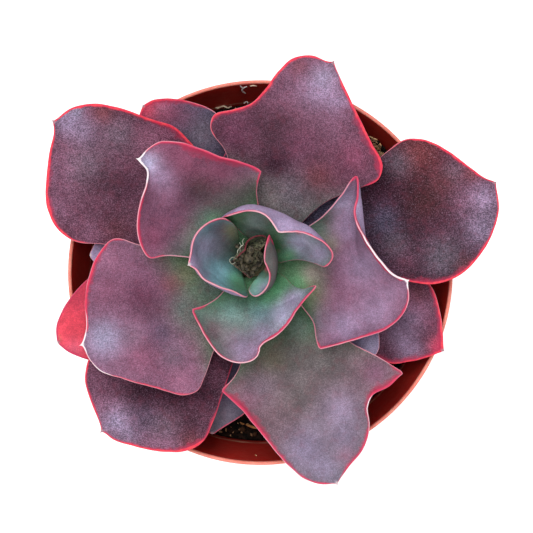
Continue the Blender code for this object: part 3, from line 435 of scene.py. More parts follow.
        "colours": (LEAF_GREEN, DOVE, SMOKE, MAUVE), "meal": 0.5, "point": 1.1,
        "patches": [(SEA_GREEN, 12, -17, 4, 0.7), (ASH, 10, -27, 7, 0.9), (OLIVE, 4, -27, 4, 0.6),
                    (ASH, 21, -28, 7, 0.8), (MAUVE, 36, -31.5, 4, 0.8), (SMOKE, 0, -36, 5, 0.5),
                    (PINK, -4, -40, 3.6, 0.4), (ASH, 12.6, -38, 7, 0.65), (HAZE, 25, -43, 6.4, 0.6),
                    (SMOKE, 17, -47, 4, 0.6), (HAZE, 14, -55, 6, 0.8), (PINK, 27, -57, 3, 0.4),
                    (HAZE, 26, -51, 4, 0.5), (HAZE, 20, -61, 4, 0.6), (DARK_PLUM, 4, -25, 3, 0.3)],
        "margins": [(-5, -26, 0, 0, 0.25), (-9, -33.4, 0, 0, 0.3), (-12, -36.4, 0.5, 1, 0.15),
                    (-8, -40.4, 0.75, 3.2, 0.15), (-2, -47, 0.7, 2.6, 0.2), (5, -55.4, 0.55, 1.4, 0.3),
                    (12, -63, 0.45, 1, 0.35), (19, -66, 0.5, 0.8, 0.2), (24, -65.4, 0.2, 0.2, 0.3),
                    (28, -60, 0.5, 1.4, 0.2), (33, -52.6, 0.55, 1.2, 0.2), (33.8, -46, 0.3, 0.8, 0.4),
                    (33.6, -41, 0.2, 1.2, 0.5), (37, -37, 0.7, 2.6, 0.1), (42, -34, 0.7, 2.6, 0.1),
                    (44.2, -31.2, 0.3, 0.8, 0.25), (38, -27, 0, 0, 0.3), (26, -20, 0, 0, 0.25)]},
    "leaf_upper_left": {
        "colours": (DARK_PLUM, PLUM, PLUM, PLUM), "meal": 1.0, "point": 1.2,
        "patches": [(LILAC, -60, 47.5, 4.2, 0.7), (HAZE, -55, 44, 5, 0.4), (FROST, -57.5, 50.6, 2, 0.5),
                    (BROWN_PLUM, -49, 50, 3.4, 0.7), (MAUVE, -62, 32, 6, 0.6), (SMOKE, -54, 33, 6, 0.5),
                    (SMOKE, -44, 43, 5, 0.5), (MAUVE, -62, 20, 5, 0.7), (PLUM, -50, 20, 6, 0.6),
                    (DARK_PLUM, -42, 27, 6, 0.7), (DUSK, -50, 27, 6, 0.6), (ROSE, -30, 43.5, 4, 0.6), (PINK, -34, 43, 4.6, 0.5),
                    (BROWN_PLUM, -45, 13, 4, 0.4), (MAUVE, -53, 13, 4, 0.4)],
        "margins": [(-64.3, 45, 0.4, 0.5, 0.15), (-66, 37, 0.75, 1.2, 0.1), (-66.8, 27, 0.8, 1.6, 0.1),
                    (-66, 18, 0.85, 2, 0.05), (-62, 12.4, 0.8, 1.4, 0.1), (-57.6, 10, 0.4, 0.6, 0.2),
                    (-52, 9.2, 0.1, 0.2, 0.25), (-44, 8.8, 0, 0, 0.25), (-62, 49.6, 0.6, 0.4, 0.1),
                    (-55, 52.4, 0.8, 0.8, 0.05), (-46, 51.8, 0.75, 1.2, 0.05), (-37, 48.6, 0.6, 1.2, 0.05),
                    (-28, 45.8, 0.8, 2, 0.05), (-23, 42, 0.7, 2.2, 0.05)]},
    "leaf_right_upper": {
        "colours": (SLATE, DARK_PLUM, PLUM, PLUM), "meal": 1.1, "point": 0.9,
        "patches": [(BROWN_PLUM, 50, 37, 7, 0.85), (SMOKE, 43, 34, 4, 0.5), (SMOKE, 60, 31, 3.4, 0.4),
                    (BROWN_PLUM, 57, 27, 5, 0.5), (SLATE, 38.6, 16, 5, 0.75), (UMBER, 52, 22, 7.5, 0.95),
                    (SMOKE, 42, 9, 4, 0.4), (WINE, 55, 13, 5, 0.4), (LILAC, 69.4, 23, 5, 0.55), (HAZE, 69.4, 14, 6, 0.5),
                    (SMOKE, 57, 5, 6, 0.6), (PLUM, 46, 3, 4, 0.5), (MAUVE, 63, 22, 5, 0.5),
                    (BROWN_PLUM, 66, 31, 3, 0.6), (BROWN_PLUM, 64, 2, 3, 0.5)],
        "margins": [(38, 35, 0.1, 0, 0.2), (43.6, 40.6, 0.3, 0.3, 0.2), (50, 41.6, 0.55, 0.6, 0.15),
                    (60, 37, 0.65, 1, 0.05), (67, 31.4, 0.5, 1, 0.05), (72.6, 28, 0.3, 0.5, 0.05),
                    (74.2, 21, 0.45, 0.6, 0.1), (72.6, 13, 0.5, 0.8, 0.1), (68, 5, 0.6, 1.2, 0.05),
                    (61, -1.4, 0.65, 1.8, 0.05), (53, -3.4, 0.6, 2.2, 0.05), (44, -2.4, 0.5, 1.4, 0.1)]},
    "leaf_lower_left": {
        "colours": (DARK_PLUM, PLUM, MAUVE, PLUM), "meal": 1.0, "point": 1.3,
        # Painted shadow: the three dark plum patches along y = -38 are the shadow that leaf_left_lower's lower edge
        # casts on this leaf
        "patches": [(DARK_PLUM, -37, -38, 7, 0.95), (DARK_PLUM, -27, -38, 6, 0.8), (PLUM, -48, -36, 5, 0.4),
                    (DARK_PLUM, -16, -38, 6, 0.85), (HAZE, -45, -46.5, 4.6, 0.8), (HAZE, -41, -50.6, 3.4, 0.5),
                    (SLATE, -36, -46, 4.5, 0.5), (SMOKE, -30, -49, 4.4, 0.5), (DARK_PLUM, -21, -47, 4.5, 0.6),
                    (BROWN_PLUM, -22, -53, 3.4, 0.6), (MAUVE, -30, -53, 4, 0.5)],
        "margins": [(-54, -28, 0.5, 0.8, 0.15), (-54.4, -35, 0.4, 0.9, 0.15), (-52, -42, 0.4, 0.9, 0.15),
                    (-49.6, -48, 0.3, 0.6, 0.2), (-46, -51.6, 0.35, 0.8, 0.15), (-38, -54, 0.5, 1, 0.1),
                    (-28, -56, 0.6, 1.4, 0.1), (-21, -54.8, 0.8, 2.6, 0.1), (-16.4, -50, 0.25, 1.0, 0.1),
                    (-12, -38, 0.12, 0.4, 0.1), (-9, -28, 0.12, 0.3, 0.1)]},
    "leaf_top_hidden": {
        "colours": (SLATE, SLATE, SLATE, SLATE), "meal": 0.6, "point": 0.4, "patches": [],
        "margins": [(0, 40, 0.2, 0.3, 0.15)]},
    "leaf_right_lower_inner": {
        "colours": (SLATE, SLATE, LILAC, SLATE), "meal": 0.5, "point": 0,
        "patches": [(SLATE, 31, -21.6, 2.2, 0.5), (FROST, 34.5, -22, 3, 0.8)],
        "margins": [(37, -22, 0.05, 0, 0.3)]},
    "leaf_left_inner": {
        "colours": (SLATE, SMOKE, LILAC, SLATE), "meal": 0.5, "point": 0.3,
        "patches": [(LILAC, -50, 7, 3, 0.5)],
        "margins": [(-53, 5, 0.05, 0, 0.3)]},
    "leaf_right_hidden": {
        "colours": (SLATE, SLATE, SLATE, SLATE), "meal": 0.4, "point": 0.3, "patches": [],
        "margins": [(30, 30, 0.1, 0, 0.15)]},
    "leaf_bottom_inner": {
        "colours": (SLATE, SLATE, SMOKE, SLATE), "meal": 0.4, "point": 0.4,
        "patches": [(DARK_PLUM, -7, -33, 4, 0.5), (SMOKE, -11, -45, 4, 0.6)],
        "margins": [(-6, -45, 0.25, 0.3, 0.2), (-12, -48.6, 0.3, 0.4, 0.2), (-20, -44, 0.2, 0.2, 0.15)]},
    "leaf_top_left": {
        "colours": (SLATE, SLATE, MAUVE, PLUM), "meal": 0.7, "point": 0.5,
        "patches": [(SMOKE, -18, 43.4, 6, 0.9), (MAUVE, -25, 48, 4, 0.6), (ROSE, -29, 50, 4, 0.9),
                    (CRIMSON, -34.5, 51, 4, 0.85), (CORAL, -35.4, 51.6, 3.4, 0.35), (PINK, -31, 51, 3.2, 0.55), (DARK_PLUM, -10, 39, 3, 0.4)],
        "margins": [(-37.8, 49, 0.7, 2, 0.05), (-34, 53.4, 0.8, 2.4, 0.05), (-27, 54.2, 0.6, 2, 0.05),
                    (-20, 52.6, 0.3, 1, 0.2), (-14, 49.6, 0.05, 0.2, 0.3), (-10, 43, 0, 0, 0.25)]},
    "leaf_right_lower": {
        "colours": (SLATE, PLUM, PLUM, PLUM), "meal": 0.8, "point": 0.9,
        "patches": [(HAZE, 43, -18, 4, 0.5), (LILAC, 46, -23, 4, 0.55), (MAUVE, 47, -13, 6, 0.95), (HAZE, 46, -15.5, 4, 0.45),
                    (CRIMSON, 55.6, -22.6, 3, 0.9), (ROSE, 54, -16, 2.6, 0.5), (DARK_PLUM, 39, -26, 3.4, 0.7),
                    (BROWN_PLUM, 49, -6, 3.4, 0.4)],
        "margins": [(51, -2, 0.4, 0.8, 0.2), (54.6, -8, 0.5, 1.4, 0.2), (56.4, -15, 0.6, 2, 0.2),
                    (57, -23, 0.8, 3.4, 0.05), (52, -26.4, 0.5, 1.6, 0.1), (43, -28.4, 0.4, 1.8, 0.05)]},
    "leaf_far_left": {
        "colours": (CRIMSON, CORAL, CORAL, CRIMSON), "meal": 0.25, "point": 0.2,
        "patches": [(CRIMSON, -56, -7, 6, 0.6), (PINK, -58, -24, 3.6, 0.4), (TAN, -63.4, -20.6, 1.2, 0.6)],
        "margins": [(-58, -7, 0.5, 0.8, 0.15), (-63.4, -16, 0.5, 0.6, 0.15), (-58, -25.6, 0.5, 0.8, 0.15)]},
}
# The heart's olive-brown scales, the first with a dark red rim
HEART_LOOKS = {
    "scale_red_rimmed": {
        "colours": (OLIVE, (0.034, 0.042, 0.020), (0.052, 0.054, 0.030), OLIVE), "meal": 0, "patches": [],
        "margins": [(-8, 3.6, 0.1, 0, 0.1), (-5, 7, 0.3, 0, 0), (-1, 11, 0.3, 0, 0), (2, 9, 0.2, 0, 0)]},
    "scale_brown": {
        "colours": (OLIVE, (0.060, 0.052, 0.034), (0.120, 0.104, 0.070), OLIVE), "meal": 0, "patches": [],
        "margins": [(-8, 3, 0.05, 0, 0.15), (-3, -1, 0.1, 0, 0.1)]},
    "scale_inner": {
        "colours": (OLIVE, (0.030, 0.024, 0.016), (0.060, 0.044, 0.030), OLIVE), "meal": 0, "patches": [],
        "margins": [(0, 3, 0, 0, 0)]},
}
LEAF_SLOTS = {
    "leaf_heart_folded": "inner_leaf", "leaf_inner_left": "inner_leaf", "leaf_inner_top": "inner_leaf",
    "leaf_inner_bottom": "inner_leaf", "leaf_far_left": "red_leaf",
}


class Shade:
    """A material whose nodes are added one call at a time; its Principled shader is .shader."""

    def __init__(self, name):
        self.material = bpy.data.materials.new(name)
        self.material.use_nodes = True
        self.tree = self.material.node_tree
        self.shader = self.tree.nodes["Principled BSDF"]
        self.place = self.tree.nodes.new("ShaderNodeTexCoord").outputs["Object"]

    def node(self, kind, output, inputs, **settings):
        """A new node's output; inputs gives a value or another node's output for each named input."""
        made = self.tree.nodes.new("ShaderNode" + kind)
        for name, value in settings.items():
            setattr(made, name, value)
        for name, value in inputs.items():
            self.put(made.inputs[name], value)
        return made.outputs[output]

    def put(self, socket, value):
        """Sets an input's value, or links it to another node's output."""
        if isinstance(value, bpy.types.NodeSocket):
            self.tree.links.new(value, socket)
        elif isinstance(value, tuple) and len(value) == 3 and socket.type == "RGBA":
            socket.default_value = (*value, 1.0)
        else:
            socket.default_value = value

    def set(self, **values):
        """Sets the shader's own inputs, named with underscores for spaces."""
        for name, value in values.items():
            self.put(self.shader.inputs[name.replace("_", " ")], value)

    def noise(self, size, detail=2.0, roughness=0.5, stretch=(1, 1, 1)):
        """Noise from 0 to 1 whose features are about this many millimetres wide."""
        place = self.place
        if stretch != (1, 1, 1):
            place = self.node("Mapping", "Vector", {"Vector": place, "Scale": stretch})
        inputs = {"Vector": place, "Scale": 1 / (size * METRES), "Detail": detail, "Roughness": roughness}
        return self.node("TexNoise", "Fac", inputs)

    def spots(self, size, feature="F1", randomness=1.0):
        """Distance to the nearest of many scattered points, about this many millimetres apart."""
        inputs = {"Vector": self.place, "Scale": 1 / (size * METRES), "Randomness": randomness}
        return self.node("TexVoronoi", "Distance", inputs, feature=feature)

    def ramp(self, value, start, end, low=0.0, high=1.0):
        """Runs smoothly from low to high as the value goes from start to end."""
        inputs = {"Value": value, "From Min": start, "From Max": end, "To Min": low, "To Max": high}
        return self.node("MapRange", "Result", inputs, interpolation_type="SMOOTHSTEP")

    def maths(self, operation, first, second=0.0):
        """Arithmetic on two values."""
        made = self.tree.nodes.new("ShaderNodeMath")
        made.operation = operation
        self.put(made.inputs[0], first)
        self.put(made.inputs[1], second)
        return made.outputs[0]

    def mix(self, share, first, second, blend="MIX"):
        """The first colour with a share of the second."""
        made = self.tree.nodes.new("ShaderNodeMix")
        made.data_type = "RGBA"
        made.blend_type = blend
        self.put(made.inputs["Factor"], share)
        self.put(made.inputs[6], first)
        self.put(made.inputs[7], second)
        return made.outputs[2]

    def grey(self, value):
        """A grey of this value."""
        return self.node("CombineColor", "Color", {"Red": value, "Green": value, "Blue": value})

    def attribute(self, name, output="Fac"):
        """A value or colour stored on the mesh."""
        return self.node("Attribute", output, {}, attribute_name=name)

    def bump(self, height, depth, strength=1.0, under=None):
        """Raises the surface by up to depth millimetres where height is 1."""
        inputs = {"Height": height, "Distance": depth * METRES, "Strength": strength}
        if under is not None:
            inputs["Normal"] = under
        return self.node("Bump", "Normal", inputs)


def mesh_piece(name, points, faces, material, sharp_angle=None, **attributes):
    """A piece made of points in millimetres, with values or colours stored at its points."""
    mesh = bpy.data.meshes.new(name)
    mesh.from_pydata((np.asarray(points, float) * METRES).tolist(), [], faces)
    mesh.materials.append(material)
    mesh.shade_smooth()
    if sharp_angle is not None:
        mesh.set_sharp_from_angle(angle=radians(sharp_angle))
    for key, values in attributes.items():
        values = np.asarray(values, np.float32)
        if values.ndim == 1:
            mesh.attributes.new(key, "FLOAT", "POINT").data.foreach_set("value", values)
        else:
            colours = np.ones((len(values), 4), np.float32)
            colours[:, :3] = values
            mesh.attributes.new(key, "FLOAT_COLOR", "POINT").data.foreach_set("color", colours.ravel())
    piece = bpy.data.objects.new(name, mesh)
    bpy.context.collection.objects.link(piece)
    return piece


def place_piece(piece, slot, *replaced):
    """The piece rides on the part's one body and stands for solids of the part; its slot is not used."""
    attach(piece, "root")
    if replaced:
        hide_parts(*replaced)


def in_place(x, y, height):
    """The real point behind a point of an outline, on its line of sight from EYE."""
    shrink = 1 - height / EYE_HEIGHT
    return (EYE[0] + (x - EYE[0]) * shrink, EYE[1] + (y - EYE[1]) * shrink, RIM_HEIGHT + height)


def outline_terms(points):
    """The x and y of real points as the outlines give them, lined up with the rim's plane."""
    shrink = 1 - (points[..., 2:] - RIM_HEIGHT) / EYE_HEIGHT
    return np.array(EYE) + (points[..., :2] - np.array(EYE)) / shrink


def smooth_step(start, end, value):
    """Runs smoothly from 0 to 1 as the value goes from start to end."""
    share = np.clip((value - start) / (end - start), 0, 1)
    return share * share * (3 - 2 * share)


def smooth_path(points, shares):
    """Points at the given shares of the length of a smooth curve through all the points."""
    points = np.array(points, float)
    steps = np.diff(points, axis=0)
    spans = np.linalg.norm(steps, axis=1)
    slopes = steps / spans[:, None]
    tangents = np.empty_like(points)
    tangents[0] = slopes[0]
    tangents[-1] = slopes[-1]
    weights = spans[1:] / (spans[1:] + spans[:-1])
    tangents[1:-1] = slopes[:-1] * weights[:, None] + slopes[1:] * (1 - weights)[:, None]
    knots = np.concatenate([[0], np.cumsum(spans)])
    along = np.asarray(shares) * knots[-1]
    piece = np.clip(np.searchsorted(knots, along, "right") - 1, 0, len(spans) - 1)
    span = spans[piece]
    u = ((along - knots[piece]) / span)[:, None]
    span = span[:, None]
    return (points[piece] * (2 * u**3 - 3 * u**2 + 1) + points[piece + 1] * (3 * u**2 - 2 * u**3)
            + tangents[piece] * span * (u**3 - 2 * u**2 + u) + tangents[piece + 1] * span * (u**3 - u**2))


def waves(draw, count, longest, shortest):
    """A smooth random function of a place, from about -1 to 1, as a sum of waves in all directions."""
    lengths = draw.uniform(shortest, longest, count)
    angles = draw.uniform(0, 2 * pi, count)
    starts = draw.uniform(0, 2 * pi, count)

    def value(x, y):
        total = 0
        for length, angle, start in zip(lengths, angles, starts):
            total = total + np.sin((x * cos(angle) + y * sin(angle)) * 2 * pi / length + start)
        return total / np.sqrt(count)

    return value


def turned_points(profile, sides, axis=(0.0, 0.0)):
    """Points and faces of a closed solid turned about a vertical axis, from its lower to its upper pole."""
    rings = profile[1:-1]
    points = [(axis[0], axis[1], profile[0][1])]
    for radius, height in rings:
        for side in range(sides):
            angle = 2 * pi * side / sides
            points.append((axis[0] + radius * cos(angle), axis[1] + radius * sin(angle), height))
    points.append((axis[0], axis[1], profile[-1][1]))
    faces = []
    top = len(points) - 1
    last_ring = 1 + (len(rings) - 1) * sides
    for side in range(sides):
        after = (side + 1) % sides
        faces.append((0, 1 + after, 1 + side))
        faces.append((top, last_ring + side, last_ring + after))
        for ring in range(len(rings) - 1):
            low = 1 + ring * sides
            high = low + sides
            faces.append((low + side, low + after, high + after, high + side))
    return points, faces


def apply_boolean(target, cutter, operation):
    """Joins or cuts target with cutter and removes the cutter."""
    modifier = target.modifiers.new(operation, "BOOLEAN")
    modifier.operation = operation
    modifier.object = cutter
    modifier.solver = "EXACT"
    depsgraph = bpy.context.evaluated_depsgraph_get()
    result = bpy.data.meshes.new_from_object(target.evaluated_get(depsgraph))
    target.modifiers.clear()
    target.data = result
    bpy.data.objects.remove(cutter)


def stem_radius(height):
    """The stem's radius at a height from the rim."""
    share = min(max((height + SOIL_DEPTH) / (STEM_TOP + SOIL_DEPTH), 0.0), 1.0)
    return STEM_FOOT_RADIUS + (STEM_TOP_RADIUS - STEM_FOOT_RADIUS) * share


def leaf_guides(leaf, shares, draw):
    """Left margin, middle and right margin of a leaf's upper face, the margins slightly waved."""
    turn = radians(leaf["turn"])
    out = np.array((cos(turn), sin(turn), 0))
    side = np.array((-sin(turn), cos(turn), 0))
    if "root" in leaf:
        root = np.array(in_place(*leaf["root"]))
    else:
        height = ATTACH_TOP - ATTACH_STEP * leaf["place"]
        reach = stem_radius(height - leaf["thick"] * BASE_THICKNESS) + GAP
        root = np.array((*STEM_AXIS, RIM_HEIGHT + height)) + out * reach
    tip = in_place(*leaf["tip"])
    guides = []
    for name, sign in (("left", 1), ("middle", 0), ("right", -1)):
        points = [root + side * sign * leaf["base"] / 2]
        points += [in_place(*point) for point in leaf[name]]
        points.append(tip)
        path = smooth_path(points, shares)
        if sign:
            ahead = np.gradient(path, axis=0)
            ahead /= np.maximum(np.linalg.norm(ahead, axis=1), 1e-9)[:, None]
            outward = np.stack([-ahead[:, 1], ahead[:, 0], 0 * ahead[:, 0]], axis=1) * sign
            wave = waves(draw, 5, 9, 3.5)(path[:, 0], path[:, 1])
            fade = np.sin(pi * shares**2) * smooth_step(0, 0.3, shares)
            path = path + outward * (wave * fade * MARGIN_WAVE)[:, None]
        guides.append(path)
    return guides


def round_end(left, middle, right):
    """Rounds the corner that both margins make where they meet at the leaf's end."""
    joined = np.concatenate([left, right[-2::-1]])
    middle_count = len(left) - 1
    along = np.concatenate([[0], np.cumsum(np.linalg.norm(np.diff(joined, axis=0), axis=1))])
    along -= along[middle_count]
    window = END_ROUNDING * np.exp(-((along / END_ROUNDING) ** 2))
    total = 0
    for share in np.linspace(-1, 1, 9):
        shifted = along + window * share
        place = np.stack([np.interp(shifted, along, joined[:, axis]) for axis in range(3)], axis=1)
        total = total + place / 9
    shift = total[middle_count] - joined[middle_count]
    away = np.linalg.norm(middle - middle[-1], axis=1)
    middle = middle + shift * np.exp(-((away / (2 * END_ROUNDING)) ** 2))[:, None]
    return total[:middle_count + 1], middle, total[middle_count:][::-1]


def distance_to_path(points, path):
    """Each point's distance to the nearest place on a path."""
    start = path[:-1]
    step = path[1:] - start
    length = np.maximum((step**2).sum(1), 1e-12)
    share = ((points[:, None] - start) * step).sum(2) / length
    nearest = start + np.clip(share, 0, 1)[..., None] * step
    return np.linalg.norm(points[:, None] - nearest, axis=2).min(1)


def leaf_tint(look, places, shares, back):
    """Colours of a leaf's points: from root to end by the share of its length, then its patches."""
    root, body, end, behind = (np.array(colour) for colour in look["colours"])
    share = shares[:, None]
    tint = root + (body - root) * smooth_step(0.22, 0.5, share)
    tint = tint + (end - tint) * smooth_step(0.62, 1.0, share)
    for colour, x, y, radius, strength in look["patches"]:
        away = ((places[:, 0] - x) ** 2 + (places[:, 1] - y) ** 2) / radius**2
        tint = tint + (np.array(colour) - tint) * (strength * np.exp(-away))[:, None]
    back = back[:, None]
    return tint * (1 - back) + behind * back


def margin_values(look, places):
    """Width of the red line, reach of the duller red and width of the pale line, which is a painted highlight, from
    the notes.
    """
    notes = np.array(look["margins"], float)
    away = ((places[:, None] - notes[None, :, :2]) ** 2).sum(2)
    weights = 1 / (away + 1.0) ** 2
    weights /= weights.sum(1)[:, None]
    return (weights @ notes[:, 2:]).T


def leaf_form(leaf, look, rows, columns, draw):
    """Points, faces and stored values of a fine leaf: the solid's own surface with a rounded margin."""
    shares = 1 - (1 - np.linspace(0, 1, rows + 1)) ** ROW_CROWDING
    left, middle, right = round_end(*leaf_guides(leaf, shares, draw))
    t = np.sin(np.linspace(-pi / 2, pi / 2, columns + 1))[None, :, None]
    chord_middle = ((left + right) / 2)[:, None]
    upper = chord_middle + (left - right)[:, None] / 2 * t
    upper = upper + (middle[:, None] - chord_middle) * (1 - np.abs(t) ** CUP_POWER)
    if "bulge_left" in leaf:
        outward = left - right
        outward[:, 2] = 0
        outward /= np.maximum(np.linalg.norm(outward, axis=1), 1e-6)[:, None]
        grown = np.sin(pi * shares) ** 2 * leaf["bulge_left"]
        leftward = np.clip(t, 0, 1)
        ridge = leftward**2 * (1 - leftward) * BULGE_SCALE
        upper = upper + (outward * grown[:, None])[:, None] * ridge
    normal = np.cross(np.gradient(upper, axis=1), np.gradient(upper, axis=0))
    normal /= np.maximum(np.linalg.norm(normal, axis=2), 1e-9)[..., None]
    normal[-1] = normal[-2]
    thickness = leaf["thick"] * np.interp(shares, THICKNESS_AT, THICKNESSES)
    spread = MARGIN_SHARE + (1 - MARGIN_SHARE) * (1 - np.abs(t[0, :, 0]) ** CUP_POWER)
    depth = np.maximum(thickness[:, None] * spread[None, :], MARGIN_LEAST)

    margin = np.concatenate([upper[:, 0], upper[::-1, -1]])
    flat = upper.reshape(-1, 3)
    edge = distance_to_path(flat, margin).reshape(depth.shape)
    edge[:, 0] = 0
    edge[:, -1] = 0
    edge[-1] = 0
    depth = np.minimum(depth, MARGIN_THICKNESS + MARGIN_SLOPE * edge)
    half = np.minimum(depth / 2, 0.7)
    drop = half * (1 - np.sqrt(1 - (1 - np.clip(edge / half, 0, 1)) ** 2))
    bead = MARGIN_BEAD * np.exp(-(((edge - 0.6) / 0.35) ** 2))
    relief = waves(draw, 7, 26, 8)(upper[..., 0], upper[..., 1])
    relief = RELIEF * relief * smooth_step(0.5, 5, edge) * smooth_step(0.05, 0.3, shares)[:, None]
    top = upper + normal * (drop - bead - relief)[..., None]
    # At the margin both faces meet halfway down
    under_depth = depth - np.where(depth / 2 > half, (depth / 2 - half) * np.exp(-((edge / 1.2) ** 2)) * 2, 0)
    bottom = upper + normal * (under_depth - drop)[..., None]
    bottom[:, 0] = top[:, 0]
    bottom[:, -1] = top[:, -1]

    tip = top[-1, columns // 2]
    ahead = tip - top[-8, columns // 2]
    ahead /= np.linalg.norm(ahead)
    points = np.concatenate([top[:-1].reshape(-1, 3), bottom[:-1].reshape(-1, 3), tip[None]])
    to_tip = np.linalg.norm(points - tip, axis=1)
    point = look.get("point", 0)
    drawn_out = points + ahead * (point * np.exp(-to_tip / POINT_REACH))[:, None]

    face_count = rows * (columns + 1)
    up = np.arange(face_count).reshape(rows, columns + 1)
    low = up + face_count
    low[:, 0] = up[:, 0]
    low[:, -1] = up[:, -1]
    apex = 2 * face_count
    faces = []
    for grid, order in ((up, -1), (low, 1)):
        quads = np.stack([grid[:-1, :-1], grid[:-1, 1:], grid[1:, 1:], grid[1:, :-1]], axis=-1)
        faces += quads.reshape(-1, 4)[:, ::order].tolist()
        ends = np.stack([grid[-1, :-1], grid[-1, 1:], np.full(columns, apex)], axis=-1)
        faces += ends[:, ::order].tolist()
    foot = np.stack([low[0, 1:], low[0, :-1], up[0, :-1], up[0, 1:]], axis=-1).tolist()
    faces += [tuple(dict.fromkeys(face)) for face in foot]

    edges = np.concatenate([edge[:-1].ravel(), edge[:-1].ravel(), [0]])
    along = np.repeat(shares[:-1], columns + 1)
    along = np.concatenate([along, along, [1]])
    back = np.concatenate([np.zeros(face_count), np.ones(face_count), [0]])
    places = outline_terms(points)
    # pale is the width of the pale outermost margin line, a painted highlight
    red, glow, pale = margin_values(look, places)
    if not point:
        to_tip = to_tip + 9
    values = {"tint": leaf_tint(look, places, along, back), "edge": edges, "red": red, "glow": glow,
              "pale": pale, "meal": np.full(len(points), look["meal"]), "to_tip": to_tip}
    return drawn_out, faces, values


def keep_used(points, faces, values):
    """Drops points that no face uses."""
    used = np.unique(np.concatenate([np.array(face) for face in faces]))
    renumber = np.full(len(points), -1)
    renumber[used] = np.arange(len(used))
    faces = [tuple(renumber[list(face)].tolist()) for face in faces]
    return points[used], faces, {key: value[used] for key, value in values.items()}


def leaf_material():
    """Waxy skin: mealy speckle over the leaf's own colour, and a thin red margin with a pale edge, which is a painted
    highlight.
    """
    skin = Shade("leaf_skin")
    tint = skin.attribute("tint", "Color")
    meal = skin.attribute("meal")
    edge = skin.attribute("edge")
    red = skin.attribute("red")
    pale = skin.attribute("pale")
    grain = skin.noise(0.36, 3, 0.7)
    specks = skin.noise(0.36, 2, 0.6)
    cloud = skin.noise(7.0, 4, 0.55)
    blush = skin.noise(2.4, 4, 0.6)
    mottle = skin.noise(1.3, 4, 0.7)

    colour = skin.mix(1.0, tint, skin.grey(skin.ramp(cloud, 0.3, 0.7, 0.8, 1.18)), "MULTIPLY")
    blotch = skin.maths("MULTIPLY", skin.ramp(mottle, 0.36, 0.64, -0.17, 0.17), skin.maths("MAXIMUM", meal, 0.45))
    colour = skin.mix(1.0, colour, skin.grey(skin.maths("ADD", blotch, 1.0)), "MULTIPLY")
    swing = skin.maths("MULTIPLY", skin.ramp(grain, 0.36, 0.64, -0.5, 0.54), meal)
    colour = skin.mix(1.0, colour, skin.grey(skin.maths("ADD", swing, 1.0)), "MULTIPLY")
    colour = skin.mix(skin.ramp(blush, 0.48, 0.72, 0.0, 0.14), colour, (0.22, 0.040, 0.065))
    flecks = skin.maths("MULTIPLY", skin.ramp(specks, 0.54, 0.68), skin.ramp(blush, 0.62, 0.38, 0.04, 0.16))
    colour = skin.mix(skin.maths("MULTIPLY", flecks, meal), colour, (0.44, 0.34, 0.44))

    reach = skin.maths("MAXIMUM", skin.attribute("glow"), 0.01)
    ragged = skin.maths("MULTIPLY", edge, skin.ramp(blush, 0.3, 0.7, 0.7, 1.5))
    fade = skin.ramp(skin.maths("DIVIDE", ragged, reach), 1.3, 0.0, 0.0, 0.92)
    colour = skin.mix(fade, colour, (0.42, 0.032, 0.080))
    width = skin.maths("MULTIPLY", red, skin.ramp(blush, 0.35, 0.65, 1.3, 0.9))
    line = skin.ramp(skin.maths("SUBTRACT", width, edge), -0.02, 0.3, 0.0, 0.94)
    vivid = skin.mix(skin.ramp(meal, 0.4, 0.9), (0.54, 0.046, 0.115), (0.68, 0.036, 0.078))
    brighter = skin.maths("MULTIPLY", skin.ramp(mottle, 0.4, 0.62, 0.0, 0.7), skin.ramp(meal, 0.45, 0.85, 0.25))
    vivid = skin.mix(brighter, vivid, (0.86, 0.085, 0.095))
    colour = skin.mix(line, colour, vivid)
    # Painted highlight: a thin pale pink-to-white line along the very edge of the margin, as wide as the pale notes
    # give
    rim = skin.ramp(skin.maths("SUBTRACT", skin.maths("MULTIPLY", pale, 0.55), edge), -0.04, 0.1, 0.0, 0.9)
    rim = skin.maths("MULTIPLY", rim, skin.ramp(pale, 0.05, 0.3, 0.1, 1.0))
    colour = skin.mix(rim, colour, skin.mix(skin.ramp(pale, 0.25, 0.6), (0.70, 0.29, 0.36), (0.88, 0.80, 0.84)))
    # The thorn is painted paler where the pale notes are wide, part of the same painted highlight
    thorn = skin.ramp(skin.attribute("to_tip"), 0.8, 0.25)
    horn = skin.mix(skin.ramp(pale, 0.15, 0.45), (0.34, 0.20, 0.23), (0.84, 0.74, 0.76))
    colour = skin.mix(thorn, colour, horn)

    skin.set(Base_Color=colour, Roughness=skin.ramp(grain, 0.3, 0.7, 0.5, 0.66))
    skin.set(Specular_IOR_Level=0.07, Subsurface_Weight=0.1, Subsurface_Scale=0.0015)
    skin.set(Subsurface_Radius=(1.0, 0.3, 0.35))
    pores = skin.bump(grain, 0.08, 0.5)
    skin.set(Normal=skin.bump(specks, 0.04, 0.5, pores))
    return skin.material


def make_leaves(material):
    """All the leaves, each in place of its solid."""
    for number, (name, leaf) in enumerate(LEAVES.items()):
        draw = np.random.default_rng(SEED + number)
        look = LOOKS[name]
        points, faces, values = leaf_form(leaf, look, ROWS, COLUMNS, draw)
        points, faces, values = keep_used(points, faces, values)
        piece = mesh_piece(name + "_fine", points, faces, material, **values)
        place_piece(piece, LEAF_SLOTS.get(name, "outer_leaf"), name)


